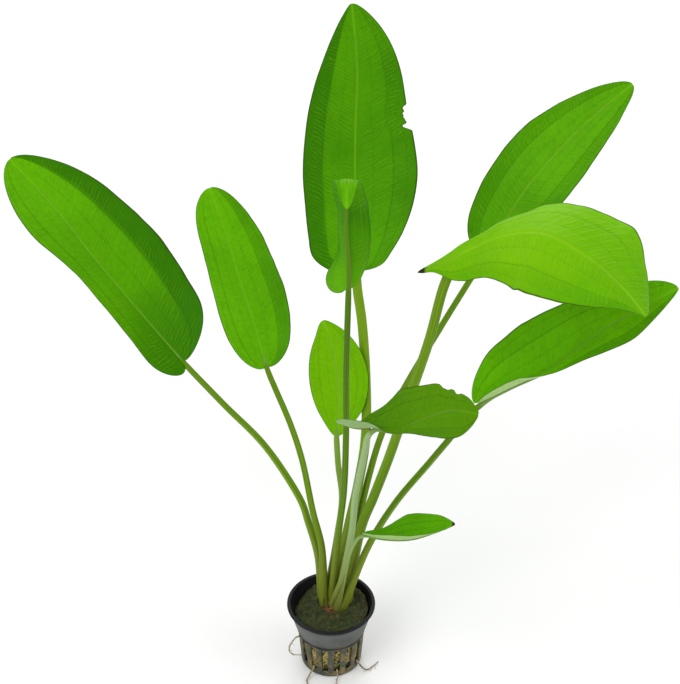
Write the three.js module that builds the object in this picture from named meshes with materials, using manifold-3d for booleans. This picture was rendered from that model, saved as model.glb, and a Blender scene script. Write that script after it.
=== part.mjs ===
// Potted amazon sword plant: ten leaves on a short rootstock, in a net pot filled with mineral wool.
// Millimetres, +Z up. The origin is the centre of the pot's underside, and -Y is the plant's front.
import * as THREE from 'three';
import { mergeVertices } from 'three/addons/utils/BufferGeometryUtils.js';
import Module from 'manifold-3d';

const wasm = await Module();
wasm.setup();

// ---- Driving dimensions ----
const POT = {
  height: 42, // rim above the floor
  rimRadius: 25, // outside the rolled rim
  rimDrop: 1.6, // height of the rim's thick band
  rimProud: 1.0, // how far the band stands out from the collar
  waistRadius: 18.6, // outside, where the collar meets the basket
  waistHeight: 23,
  footRadius: 16.8, // outside, at the floor
  wall: 1.1,
  floor: 1.2,
  sides: 48,
};
const SLOT = { count: 16, width: 3.8, low: 4.2, high: 21.5 }; // upright slots in the basket
const BASE_SLOT = { count: 6, width: 3, from: 9.5, to: 14 }; // slots in the pot's floor
const GAP = 0.35; // clearance between neighbouring pieces
const WOOL_TOP = 37.6; // top of the wool plug at its middle
const CROWN = { x: 2, y: 4, radius: 9.4, low: 37.95, high: 43.2 };
const STALK_SIDES = 8;
const STALK_RINGS = 11;
const BLADE_ROWS = 11;
const BLADE_THICKNESS = 0.5;
const LATERAL_VEIN = 0.62; // share of the half width at which the blade bends along its side vein
const END_ANGLE = 7; // degrees: the first and last rows stop just short of a point
const STALK_OVERLAP = 0.05; // share of the rib that the end of the stalk reaches along
const ROOT_RADIUS = 0.55;
const ROOT_SIDES = 6;
const ROOT_TAPER = 0.5; // share of its radius that a root loses by its end
const ROOT_RINGS = 12;

const COLOUR = {
  leaf: 0x4ca00a,
  bright: 0x73b914,
  olive: 0x588f0f,
  pot: 0x1d2022,
  wool: 0x4a4a30,
  crown: 0x6b3a20,
  root: 0xb08a4c,
};

// Each leaf: its stalk from the crown up, and its rib from the end of the stalk to the tip. face is where
// the upper side looks, at the blade's base and at its tip. join is the share of the rib where the stalk
// meets it, on blades whose folded base reaches back past the stalk. left and right are half widths, from
// the base to the tip, that a half ellipse is scaled by. rise is how steeply each half climbs from the rib,
// in degrees, from the base to the tip, and bend is what it climbs more beyond its side vein. lobes is how
// far and which way the margin of each half is carried back past the end of the stalk.
const LEAVES = [
  {
    name: 'leaf_left_large',
    colour: COLOUR.leaf,
    radii: [2.2, 1.5],
    stalk: [
      [-5, 6, 44.2], [-7, 8, 69], [-12, 10, 91], [-18, 15, 108],
      [-36, 28, 132], [-58, 42, 149], [-80, 58, 165],
    ],
    rib: [[-81, 58, 167], [-103, 74, 186], [-128, 88, 213], [-150, 98, 241], [-172, 104, 267]],
    face: [[0.35, -0.75, 0.55], [0.35, -0.75, 0.55]],
    left: [22, 26, 17, 15, 24, 27, 24],
    right: [30, 44, 38, 35, 31, 26, 22],
    rise: { left: [10, 15, 10], right: [6, 6, 4] },
    bend: { left: [6, 6, 4], right: [20, 26, 10] },
    lobes: { left: [5, -4, -5], right: [1, -1, -1] },
  },
  {
    name: 'leaf_left_small',
    colour: COLOUR.leaf,
    radii: [2.0, 1.4],
    stalk: [
      [-4.2, 1.2, 44.2], [-5, 4, 78], [-10, 6, 105], [-15, 10, 135],
      [-21, 16, 155], [-29, 24, 173], [-34, 30, 183],
    ],
    rib: [[-34, 30, 184], [-41, 44, 204], [-48, 56, 221], [-54, 66, 239], [-63, 76, 265]],
    face: [[0.25, -0.8, 0.55], [0.25, -0.8, 0.55]],
    left: [20, 22, 20, 16, 17, 20, 20],
    right: [20, 24, 23, 21, 19, 18, 16],
    rise: { left: [8, 10, 6], right: [6, 6, 4] },
    bend: { left: [6, 6, 4], right: [20, 24, 10] },
    lobes: { left: [1, -1, -2], right: [1, -1, -2] },
  },
  {
    name: 'leaf_tall',
    colour: COLOUR.leaf,
    radii: [2.6, 1.8],
    stalk: [
      [3.8, 9.4, 44.2], [9, 12, 82], [15, 20, 111], [19, 29, 137],
      [19, 40, 167], [17, 52, 195], [14, 60, 215],
    ],
    rib: [[14, 61, 224], [13, 82, 253], [13, 100, 286], [14, 112, 316], [11, 118, 349]],
    face: [[0, -0.9, 0.45], [0, -0.9, 0.45]],
    left: [40, 46, 45, 36, 31, 29, 27, 25.3, 23.6, 20.5, 16, 11, 8],
    right: [34, 42, 36.2, 35.6, 35.5, 34.3, 31, 27.5, 26.2, 24.8, 22.4, 18.8, 14],
    rise: { left: [4, 4, 4], right: [4, 4, 4] },
    bend: { left: [14, 16, 8], right: [6, 6, 4] },
    lobes: { left: [0, -2, -3], right: [0, -1, -1] },
  },
  {
    name: 'leaf_curled',
    colour: COLOUR.leaf,
    radii: [2.3, 1.7],
    stalk: [[0.5, 2, 44.2], [4, -2, 94], [7, -5, 128], [8, -9, 167], [8, -12, 211], [9, -18, 261]],
    rib: [
      [9, -18, 263], [9, -21, 280], [8, -24, 297], [8, -26, 311],
      [8, -29, 322], [8, -34, 329.5], [8, -41, 329], [8, -46, 321],
    ],
    face: [[0, 0.8, 0.6], [0, -0.1, 1]],
    left: [12, 13, 12.5, 11, 7, 7.5, 8],
    right: [24, 19, 8, 6.5, 7, 7.5, 8],
    rise: { left: [20, 20, 20, -5, -50], right: [10, 50, 50, -5, -50] },
    bend: { left: [5, 10, 10, 10, 10], right: [10, 10, 10, 10, 10] },
    lobes: { left: [0, 1, -2], right: [-2, 4, -8] },
  },
  {
    name: 'leaf_back_small',
    colour: COLOUR.bright,
    radii: [1.6, 1.1],
    stalk: [[-1.2, 11, 44.2], [3, 14, 76], [6, 18, 102], [4, 22, 123], [3, 26, 140]],
    rib: [[3, 26, 140], [4, 34, 158], [3, 40, 174], [0, 44, 191], [-4, 46, 202]],
    face: [[0, -0.9, 0.45], [0, -0.9, 0.45]],
    left: [8, 10, 14, 15, 14, 11, 8],
    right: [10, 12, 16, 17, 15, 10, 7],
    rise: { left: [4, 4, 4], right: [4, 4, 4] },
    bend: { left: [4, 4, 4], right: [4, 4, 4] },
    lobes: { left: [0, 0, 0], right: [0, 0, 0] },
  },
  {
    name: 'leaf_upper_right',
    colour: COLOUR.leaf,
    radii: [1.8, 1.2],
    stalk: [
      [9, 7.8, 44.2], [15, 15, 83], [18, 20, 102], [27, 30, 136],
      [39, 38, 162], [57, 48, 193], [74, 56, 222],
    ],
    rib: [[83, 60, 237], [101, 72, 266], [123, 82, 290], [141, 88, 306], [154, 90, 317]],
    face: [[-0.3, -0.75, 0.55], [-0.3, -0.75, 0.55]],
    left: [26, 28, 24, 22, 18, 14, 12],
    right: [14, 17, 21, 20, 17, 14, 12],
    rise: { left: [4, 4, 4], right: [4, 4, 4] },
    bend: { left: [8, 10, 6], right: [6, 8, 4] },
    lobes: { left: [-3, -2, -5], right: [-1, -1, -2] },
  },
  {
    name: 'leaf_arching',
    colour: COLOUR.bright,
    radii: [2.5, 1.9],
    join: 0.17,
    stalk: [
      [8.5, 3, 44.2], [16, 4, 92], [23, 2, 118], [31, -2, 150],
      [40, -8, 192], [48, -14, 230], [53, -19, 262],
    ],
    rib: [
      [41, -17, 271], [51, -21, 278], [65, -27, 290], [78, -36, 302],
      [94, -48, 310], [112, -62, 306], [125, -74, 299], [135, -82, 289],
    ],
    face: [[-0.5, -0.3, 0.8], [0.4, -0.3, 0.85]],
    left: [3, 4, 6, 8, 10, 16.5, 24, 29, 35.5, 31.5, 31, 29.5, 26],
    right: [4, 5, 6, 16, 18, 22, 28, 31, 31, 27, 15, 8, 5],
    rise: { left: [-10, -10, -10, 2, -8], right: [-10, -10, -10] },
    bend: { left: [-10, -10, -10, -6, -10], right: [-10, -20, -10] },
    lobes: { left: [0, 0, 0], right: [0, 0, 0] },
  },
  {
    name: 'leaf_lower_right',
    colour: COLOUR.leaf,
    radii: [2.0, 1.3],
    stalk: [
      [7.6, -2.2, 44.2], [20, -2, 85], [34, -6, 120],
      [51, -10, 151], [63, -13, 173], [73, -16, 192],
    ],
    rib: [
      [74, -16, 194], [89, -19, 206], [108, -22, 220],
      [127, -24, 241], [145, -22, 253], [164, -18, 263],
    ],
    face: [[-0.3, -0.7, 0.6], [-0.3, -0.6, 0.6]],
    left: [12, 20, 25, 28, 28, 27, 24, 20, 17, 16.5, 16.5, 15, 12],
    right: [10, 10, 12, 13, 13, 11, 10, 13, 14, 11.5, 9, 7, 6],
    rise: { left: [4, 4, 4], right: [95, 85, 40, 10, 0] },
    bend: { left: [6, 8, 6], right: [20, 20, 15, 8, 5] },
    lobes: { left: [-3, 0, -3], right: [0, 0, 0] },
  },
  {
    name: 'leaf_young_right',
    colour: COLOUR.olive,
    radii: [1.7, 1.2],
    join: 0.2,
    stalk: [[3.6, -2.6, 44.2], [11, -10, 101], [13, -18, 135], [16, -28, 164], [18, -37, 186]],
    rib: [
      [3, -33, 195], [12, -36, 194], [21, -40, 197], [32, -45, 200],
      [43, -52, 211], [56, -58, 221], [69, -62, 222],
    ],
    face: [[-0.3, -0.4, 0.8], [0, -0.4, 0.8]],
    left: [3, 3, 3, 4.5, 10, 19, 18.5, 17.5, 17.3, 13.5, 13, 10, 8],
    right: [12, 13, 13, 12, 10, 9, 7, 10.6, 16.2, 22.9, 27, 24, 18],
    rise: { left: [10, 10, 8, 4, 4], right: [100, 80, 30, 10, 4] },
    bend: { left: [6, 8, 4], right: [10, 10, 4] },
    lobes: { left: [0, 0, 0], right: [0, 0, 0] },
  },
  {
    name: 'leaf_young_low',
    colour: COLOUR.leaf,
    radii: [1.2, 0.8],
    stalk: [[0.4, -2.9, 44.2], [7, -12, 76], [11, -16, 96], [15, -18, 107]],
    rib: [[17, -18, 109], [28, -26, 113], [41, -33, 119], [53, -38, 128], [63, -42, 137]],
    face: [[-0.2, -0.3, 0.9], [-0.2, -0.3, 0.9]],
    left: [5, 6, 6, 6.5, 9, 12.5, 13.8, 13.2, 11.8, 11.1, 8.9, 6.5, 5],
    right: [8, 8, 9, 9, 9, 8, 6],
    rise: { left: [10, 10, 10], right: [70, 70, 40] },
    bend: { left: [6, 6, 6], right: [10, 10, 10] },
    lobes: { left: [0, 0, 0], right: [0, 0, 0] },
  },
];

const ROOTS = [
  {
    name: 'root_left_loop',
    path: [[-17.9, -3.6, 19], [-20.5, -5, 18.6], [-24, -7, 14], [-22.5, -8.5, 9.5], [-16.6, -8.2, 8.4]],
  },
  {
    name: 'root_left_hook',
    path: [
      [-9.5, -14.2, 6.5], [-11.5, -17.2, 3.4], [-13.5, -19.5, 1.3],
      [-13.5, -24, 0.9], [-12, -29, 0.8],
    ],
  },
  {
    name: 'root_right',
    path: [[14.1, -9.4, 6], [17, -11.5, 2.8], [20, -12.5, 1.1], [24, -9.5, 0.9], [27, -6, 0.9]],
  },
  {
    name: 'root_front',
    path: [[3.3, -16.7, 6], [3.6, -19.3, 2.6], [3, -22, 1], [4, -25, 0.8]],
  },
];

// ---- Solids ----
const DEGREE = Math.PI / 180;

/** A mesh geometry as a solid that can be joined and cut. */
function solid(geometry) {
  geometry.deleteAttribute('normal');
  geometry.deleteAttribute('uv');
  const merged = mergeVertices(geometry, 1e-4);
  return new wasm.Manifold(new wasm.Mesh({
    numProp: 3,
    vertProperties: new Float32Array(merged.attributes.position.array),
    triVerts: new Uint32Array(merged.index.array),
  }));
}

/** A solid back as a mesh geometry. */
function geometryOf(body) {
  const mesh = body.getMesh();
  const geometry = new THREE.BufferGeometry();
  const places = new Float32Array(mesh.vertProperties);
  geometry.setAttribute('position', new THREE.BufferAttribute(places, 3));
  geometry.setIndex(new THREE.BufferAttribute(new Uint32Array(mesh.triVerts), 1));
  geometry.computeVertexNormals();
  return geometry;
}

/** A closed body through rings of points. Every ring has the same even number of points. */
function loft(rings) {
  const count = rings[0].length;
  const positions = rings.flat().flatMap((point) => point.toArray());
  const faces = [];
  for (let r = 0; r + 1 < rings.length; r += 1) {
    for (let i = 0; i < count; i += 1) {
      const a = r * count + i;
      const b = r * count + ((i + 1) % count);
      // The two sides of a thin blade are split along the same diagonals.
      if (i < count / 2) {
        faces.push(a, b, b + count, a, b + count, a + count);
      } else {
        faces.push(a, b, a + count, b, b + count, a + count);
      }
    }
  }
  const last = (rings.length - 1) * count;
  for (let i = 0; i + 1 < count / 2; i += 1) {
    const j = count - 1 - i;
    faces.push(i, j, j - 1, i, j - 1, i + 1);
    faces.push(last + i, last + j - 1, last + j, last + i, last + i + 1, last + j - 1);
  }
  const geometry = new THREE.BufferGeometry();
  geometry.setAttribute('position', new THREE.Float32BufferAttribute(positions, 3));
  geometry.setIndex(faces.filter((_, i) => faces[i - (i % 3)] !== faces[i - (i % 3) + 1]));
  return geometry;
}

/** A smooth curve through points given as [x, y, z]. */
function curveThrough(points) {
  return new THREE.CatmullRomCurve3(points.map((p) => new THREE.Vector3(...p)), false, 'catmullrom', 0.5);
}

/** The value at share t, from 0 to 1, along a list of evenly spaced values. */
function along(values, t) {
  const place = Math.min(Math.max(t, 0), 1) * (values.length - 1);
  const i = Math.min(Math.floor(place), values.length - 2);
  return THREE.MathUtils.lerp(values[i], values[i + 1], place - i);
}

/** A ring of points around a centre, across a curve that runs along the tangent. */
function ringAround(centre, tangent, face, radius, sides) {
  const side = new THREE.Vector3().crossVectors(tangent, face).normalize();
  const normal = new THREE.Vector3().crossVectors(side, tangent);
  return Array.from({ length: sides }, (_, i) => {
    const angle = (i / sides) * 2 * Math.PI;
    return centre.clone()
      .addScaledVector(side, radius * Math.cos(angle))
      .addScaledVector(normal, -radius * Math.sin(angle));
  });
}

// ---- Leaves ----
/** The leaf's frame at share t of its rib: a centre, the tangent, its right side and its upper side. */
function ribFrame(leaf, rib, t) {
  const centre = rib.getPointAt(t);
  const tangent = rib.getTangentAt(t);
  const face = new THREE.Vector3(...leaf.face[0]).lerp(new THREE.Vector3(...leaf.face[1]), t);
  const side = new THREE.Vector3().crossVectors(tangent, face).normalize();
  const normal = new THREE.Vector3().crossVectors(side, tangent);
  return { centre, tangent, side, normal };
}

/** How far a row is swept back, as a share of the lobe, at an angle along the half ellipse. */
function sweepBack(angle) {
  const reach = Math.min(angle / (Math.PI / 2), 1);
  return Math.sin(Math.PI * Math.pow(reach, 0.55));
}

/** Where the upper side looks at a place where the section climbs to the right at an angle. */
function upperSide(frame, climb) {
  return frame.normal.clone()
    .multiplyScalar(Math.cos(climb))
    .addScaledVector(frame.side, -Math.sin(climb));
}

/** The slopes of one half of the section, in radians: up to its side vein and beyond it. */
function halfSlopes(leaf, half, t) {
  const inner = along(leaf.rise[half], t) * DEGREE;
  return { inner, outer: inner + along(leaf.bend[half], t) * DEGREE };
}

/** The thin blade: rows across the rib, each a section that climbs on both sides. */
function bladeSolid(leaf, rib) {
  const rings = [];
  for (let row = 0; row < BLADE_ROWS; row += 1) {
    const angle = THREE.MathUtils.lerp(END_ANGLE, 180 - END_ANGLE, row / (BLADE_ROWS - 1)) * DEGREE;
    const t = (1 - Math.cos(angle)) / 2;
    const frame = ribFrame(leaf, rib, t);
    const slopes = {
      left: halfSlopes(leaf, 'left', t),
      right: halfSlopes(leaf, 'right', t),
    };
    const top = [];
    const bottom = [];
    for (const step of [-1, -LATERAL_VEIN, 0, LATERAL_VEIN, 1]) {
      const half = step < 0 ? 'left' : 'right';
      const { inner, outer } = slopes[half];
      const width = Math.sin(angle) * along(leaf[half], angle / Math.PI);
      const inside = Math.min(Math.abs(step), LATERAL_VEIN) * width;
      const outside = Math.max(Math.abs(step) - LATERAL_VEIN, 0) * width;
      const across = inside * Math.cos(inner) + outside * Math.cos(outer);
      const climb = inside * Math.sin(inner) + outside * Math.sin(outer);
      const swept = new THREE.Vector3(...leaf.lobes[half])
        .multiplyScalar(Math.abs(step) * sweepBack(angle));
      const point = frame.centre.clone()
        .addScaledVector(frame.side, Math.sign(step) * across)
        .addScaledVector(frame.normal, climb)
        .add(swept);
      const atVein = Math.sign(step) * (Math.abs(step) < 1 ? (inner + outer) / 2 : outer);
      const upper = upperSide(frame, step === 0 ? (slopes.right.inner - slopes.left.inner) / 2 : atVein);
      top.push(point.clone().addScaledVector(upper, BLADE_THICKNESS / 2));
      bottom.unshift(point.addScaledVector(upper, -BLADE_THICKNESS / 2));
    }
    rings.push([...top, ...bottom]);
  }
  return solid(loft(rings));
}

/** The stalk, which thins towards the blade and ends just inside it. */
function stalkSolid(leaf, rib) {
  const [thick, neck] = leaf.radii;
  const join = leaf.join ?? 0;
  const stalk = curveThrough([...leaf.stalk, rib.getPointAt(join).toArray()]);
  const face = new THREE.Vector3(...leaf.face[0]);
  const rings = [];
  for (let i = 0; i < STALK_RINGS; i += 1) {
    const t = i / STALK_RINGS;
    const radius = THREE.MathUtils.lerp(thick, neck, Math.sqrt(t));
    rings.push(ringAround(stalk.getPointAt(t), stalk.getTangentAt(t), face, radius, STALK_SIDES));
  }
  const { centre, tangent, normal } = ribFrame(leaf, rib, join + STALK_OVERLAP);
  rings.push(ringAround(centre, tangent, normal, 0.4 * neck, STALK_SIDES));
  return solid(loft(rings));
}

function leafGeometry(leaf) {
  const rib = curveThrough(leaf.rib);
  return geometryOf(stalkSolid(leaf, rib).add(bladeSolid(leaf, rib)));
}

// ---- Pot, wool, crown and roots ----
/** The pot's outside radius at a height: a basket below the waist and a flared collar above it. */
function potRadius(z) {
  const { footRadius, waistRadius, waistHeight, rimRadius, rimProud, height } = POT;
  if (z <= waistHeight) {
    return THREE.MathUtils.lerp(footRadius, waistRadius, z / waistHeight);
  }
  const t = (z - waistHeight) / (height - waistHeight);
  return THREE.MathUtils.lerp(waistRadius, rimRadius - rimProud, Math.pow(t, 0.85));
}

function potGeometry() {
  const { height, rimRadius, rimDrop, footRadius, waistHeight, wall, floor, sides } = POT;
  const band = height - rimDrop;
  const steps = [0, waistHeight / 2, waistHeight, waistHeight + 6, waistHeight + 12, band];
  const outside = steps.map((z) => [potRadius(z), z]);
  const inside = [height, ...steps.slice(1).reverse(), floor].map((z) => [potRadius(z) - wall, z]);
  const profile = [[0, 0], [footRadius - 1, 0], [footRadius, 0.8], ...outside.slice(1), [rimRadius, band],
    [rimRadius, height], ...inside, [0, floor]];
  let pot = solid(new THREE.LatheGeometry(profile.map(([r, z]) => new THREE.Vector2(r, z)), sides)
    .rotateX(Math.PI / 2));
  for (let i = 0; i < SLOT.count; i += 1) {
    const slot = new THREE.BoxGeometry(8, SLOT.width, SLOT.high - SLOT.low)
      .translate(POT.footRadius + 1, 0, (SLOT.high + SLOT.low) / 2)
      .rotateZ(((i + 0.5) / SLOT.count) * 2 * Math.PI);
    pot = pot.subtract(solid(slot));
  }
  for (let i = 0; i < BASE_SLOT.count; i += 1) {
    const slot = new THREE.BoxGeometry(BASE_SLOT.to - BASE_SLOT.from, BASE_SLOT.width, 4 * floor)
      .translate((BASE_SLOT.to + BASE_SLOT.from) / 2, 0, 0)
      .rotateZ((i / BASE_SLOT.count) * 2 * Math.PI);
    pot = pot.subtract(solid(slot));
  }
  return geometryOf(pot);
}

/** The wool fills the pot to a little below its rim, with a low mound and an uneven top. */
function woolGeometry() {
  const clear = POT.wall + GAP;
  const side = [POT.floor + GAP, 12, POT.waistHeight, 29, WOOL_TOP - 3]
    .map((z) => [potRadius(z) - clear, z]);
  const top = [[17, WOOL_TOP - 1.2], [11, WOOL_TOP], [0, WOOL_TOP]];
  const profile = [[0, side[0][1]], ...side, ...top];
  return new THREE.LatheGeometry(profile.map(([r, z]) => new THREE.Vector2(r, z)), 32)
    .rotateX(Math.PI / 2);
}

function crownGeometry() {
  const { x, y, radius, low, high } = CROWN;
  const profile = [[0, low], [radius * 0.8, low], [radius, low + 2], [radius * 0.98, high - 1.2],
    [radius * 0.9, high], [0, high]];
  return new THREE.LatheGeometry(profile.map(([r, z]) => new THREE.Vector2(r, z)), 20)
    .rotateX(Math.PI / 2)
    .translate(x, y, 0);
}

function rootGeometry(root) {
  const curve = curveThrough(root.path);
  const rings = [];
  for (let i = 0; i <= ROOT_RINGS; i += 1) {
    const t = i / ROOT_RINGS;
    const tangent = curve.getTangentAt(t);
    const face = Math.abs(tangent.z) > 0.9 ? new THREE.Vector3(1, 0, 0) : new THREE.Vector3(0, 0, 1);
    const radius = ROOT_RADIUS * (1 - ROOT_TAPER * t);
    rings.push(ringAround(curve.getPointAt(t), tangent, face, radius, ROOT_SIDES));
  }
  return geometryOf(solid(loft(rings)));
}

// ---- The plant ----
const plant = new THREE.Group();

function add(name, geometry, colour, roughness) {
  const material = new THREE.MeshStandardMaterial({ color: colour, roughness, metalness: 0 });
  const mesh = new THREE.Mesh(geometry, material);
  mesh.name = name;
  plant.add(mesh);
}

add('net_pot', potGeometry(), COLOUR.pot, 0.35);
add('mineral_wool', woolGeometry(), COLOUR.wool, 0.95);
add('crown', crownGeometry(), COLOUR.crown, 0.8);
for (const leaf of LEAVES) {
  add(leaf.name, leafGeometry(leaf), leaf.colour, 0.45);
}
for (const root of ROOTS) {
  add(root.name, rootGeometry(root), COLOUR.root, 0.8);
}

export default plant;
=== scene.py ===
"""Potted amazon sword plant: its looks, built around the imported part.

Ten leaves stand on a short rootstock in a slotted net pot that is filled with mineral wool. Metres,
+Z up. The origin is the centre of the pot's underside and -Y is the plant's front.
"""

import logging
import math
from dataclasses import dataclass
from enum import Enum

import bpy
import numpy as np
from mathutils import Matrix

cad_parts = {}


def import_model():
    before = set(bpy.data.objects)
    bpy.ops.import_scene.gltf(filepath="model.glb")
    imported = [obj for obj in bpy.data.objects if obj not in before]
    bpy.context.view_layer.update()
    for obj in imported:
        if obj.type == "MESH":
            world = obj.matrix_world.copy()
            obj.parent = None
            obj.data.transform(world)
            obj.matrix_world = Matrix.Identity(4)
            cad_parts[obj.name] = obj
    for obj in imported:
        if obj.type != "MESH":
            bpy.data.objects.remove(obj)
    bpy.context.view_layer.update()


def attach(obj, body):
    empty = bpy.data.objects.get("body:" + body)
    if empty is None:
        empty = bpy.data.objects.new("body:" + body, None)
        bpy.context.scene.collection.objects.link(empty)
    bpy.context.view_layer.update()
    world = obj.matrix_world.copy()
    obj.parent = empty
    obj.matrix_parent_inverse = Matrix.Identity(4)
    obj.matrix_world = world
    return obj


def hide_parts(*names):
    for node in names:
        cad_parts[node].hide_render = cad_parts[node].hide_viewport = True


log = logging.getLogger("sword_plant")

BODY = "root"

Point = tuple[float, float, float]
Colour = tuple[float, float, float]
Sizes = tuple[float, ...]

# Sizes shared with the solids of the part.
SIDE_VEIN = 0.62  # share of the half width at which the blade bends along its side vein
SWEEP_POWER = 0.55  # how soon a lobe's sweep grows from the tip of the base
BLADE_VEINS = ((0.3, 0.45), (SIDE_VEIN, 1.0), (0.84, 0.5))  # place across the half, and how plain it is
VEIN_LEAN = 0.55  # how far a cross vein runs towards the tip, for each step outwards
WOOL_TOP = 0.0376
CROWN_CENTRE = (0.002, 0.004)
CROWN_RADIUS = 0.0094
CROWN_LOW = 0.03795
CROWN_HIGH = 0.0432


class Side(Enum):
    """The two halves of a blade, with the sign of the way across it."""

    LEFT = -1
    RIGHT = 1


class Tone(Enum):
    """How green a leaf is."""

    LEAF = "full green"
    BRIGHT = "fresh green"
    OLIVE = "olive green"


# ---- Curves and meshes ----
def unit(vectors: np.ndarray) -> np.ndarray:
    """Vectors of length one along the last axis.

    Args:
        vectors: Any array whose last axis holds x, y and z.

    Returns:
        The same directions, each of length one.
    """
    return vectors / np.maximum(np.linalg.norm(vectors, axis=-1, keepdims=True), 1e-12)


def spread(values: Sizes, share: np.ndarray) -> np.ndarray:
    """Values read at shares of a list of evenly spaced ones.

    Args:
        values: The evenly spaced values.
        share: Where to read them, from 0 to 1.

    Returns:
        One value for each share, joined by straight lines.
    """
    return np.interp(share, np.linspace(0.0, 1.0, len(values)), values)


def eased(values: Sizes, share: np.ndarray) -> np.ndarray:
    """Values read along a smooth curve through evenly spaced ones.

    Args:
        values: The evenly spaced values.
        share: Where to read them, from 0 to 1.

    Returns:
        One value for each share.
    """
    return cubic(np.asarray(values, float)[:, None], share * (len(values) - 1))[:, 0]


def cubic(points: np.ndarray, place: np.ndarray) -> np.ndarray:
    """A uniform Catmull-Rom curve through points.

    Args:
        points: One row for each point.
        place: Where to read it, counted in points from the first.

    Returns:
        One row for each place.
    """
    padded = np.vstack([2 * points[0] - points[1], points, 2 * points[-1] - points[-2]])
    first = np.clip(np.floor(place).astype(int), 0, len(points) - 2)
    rest = (place - first)[:, None]
    before, start, end, after = (padded[first + k] for k in range(4))
    leave, arrive = (end - before) / 2, (after - start) / 2
    cube = 2 * start - 2 * end + leave + arrive
    square = -3 * start + 3 * end - 2 * leave - arrive
    return ((cube * rest + square) * rest + leave) * rest + start


def smoothstep(low: float, high: float, value: np.ndarray) -> np.ndarray:
    """A smooth climb from 0 to 1.

    Args:
        low: The value up to which it is 0.
        high: The value from which it is 1.
        value: Where to read it.

    Returns:
        The climb at each value.
    """
    share = np.clip((value - low) / (high - low), 0.0, 1.0)
    return share * share * (3 - 2 * share)


class Curve:
    """A smooth curve through points, read by share of its length."""

    STEPS = 600

    def __init__(self, points: tuple[Point, ...]) -> None:
        """Measures the curve.

        Args:
            points: The points that it runs through.
        """
        corners = np.asarray(points, float)
        self._path = cubic(corners, np.linspace(0, len(corners) - 1, self.STEPS))
        steps = np.linalg.norm(np.diff(self._path, axis=0), axis=1)
        self.length = float(steps.sum())
        self._share = np.concatenate([[0.0], np.cumsum(steps)]) / self.length

    def at(self, share: np.ndarray) -> np.ndarray:
        """Points at shares of the length.

        Args:
            share: From 0 at the first point to 1 at the last.

        Returns:
            One row of x, y and z for each share.
        """
        return np.stack([np.interp(share, self._share, self._path[:, k]) for k in range(3)], axis=-1)

    def tangents(self, share: np.ndarray) -> np.ndarray:
        """The directions of the curve at shares of its length.

        Args:
            share: From 0 at the first point to 1 at the last.

        Returns:
            One row of length one for each share.
        """
        step = 4 / self.STEPS
        return unit(self.at(np.minimum(share + step, 1)) - self.at(np.maximum(share - step, 0)))


class Ripple:
    """Smooth unevenness in space, the same on every run."""

    def __init__(self, seed: int, size: float, octaves: int = 3) -> None:
        """Draws the waves.

        Args:
            seed: The seed of the draw.
            size: The length of the longest wave.
            octaves: How many layers of waves there are, each half as long as the last.
        """
        rng = np.random.default_rng(seed)
        self._waves = []
        for octave in range(octaves):
            turns = 2 * math.pi / size * 2**octave
            ways = unit(rng.normal(size=(6, 3))) * turns * rng.uniform(0.7, 1.4, (6, 1))
            self._waves.append((ways, rng.uniform(0, 2 * math.pi, 6), 0.55**octave))

    def at(self, points: np.ndarray) -> np.ndarray:
        """The unevenness at points.

        Args:
            points: An array whose last axis holds x, y and z.

        Returns:
            About -1 to 1 for each point.
        """
        total = np.zeros(points.shape[:-1])
        for ways, phases, weight in self._waves:
            total += weight * np.sin(points @ ways.T + phases).mean(axis=-1) * 1.7
        return total


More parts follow.
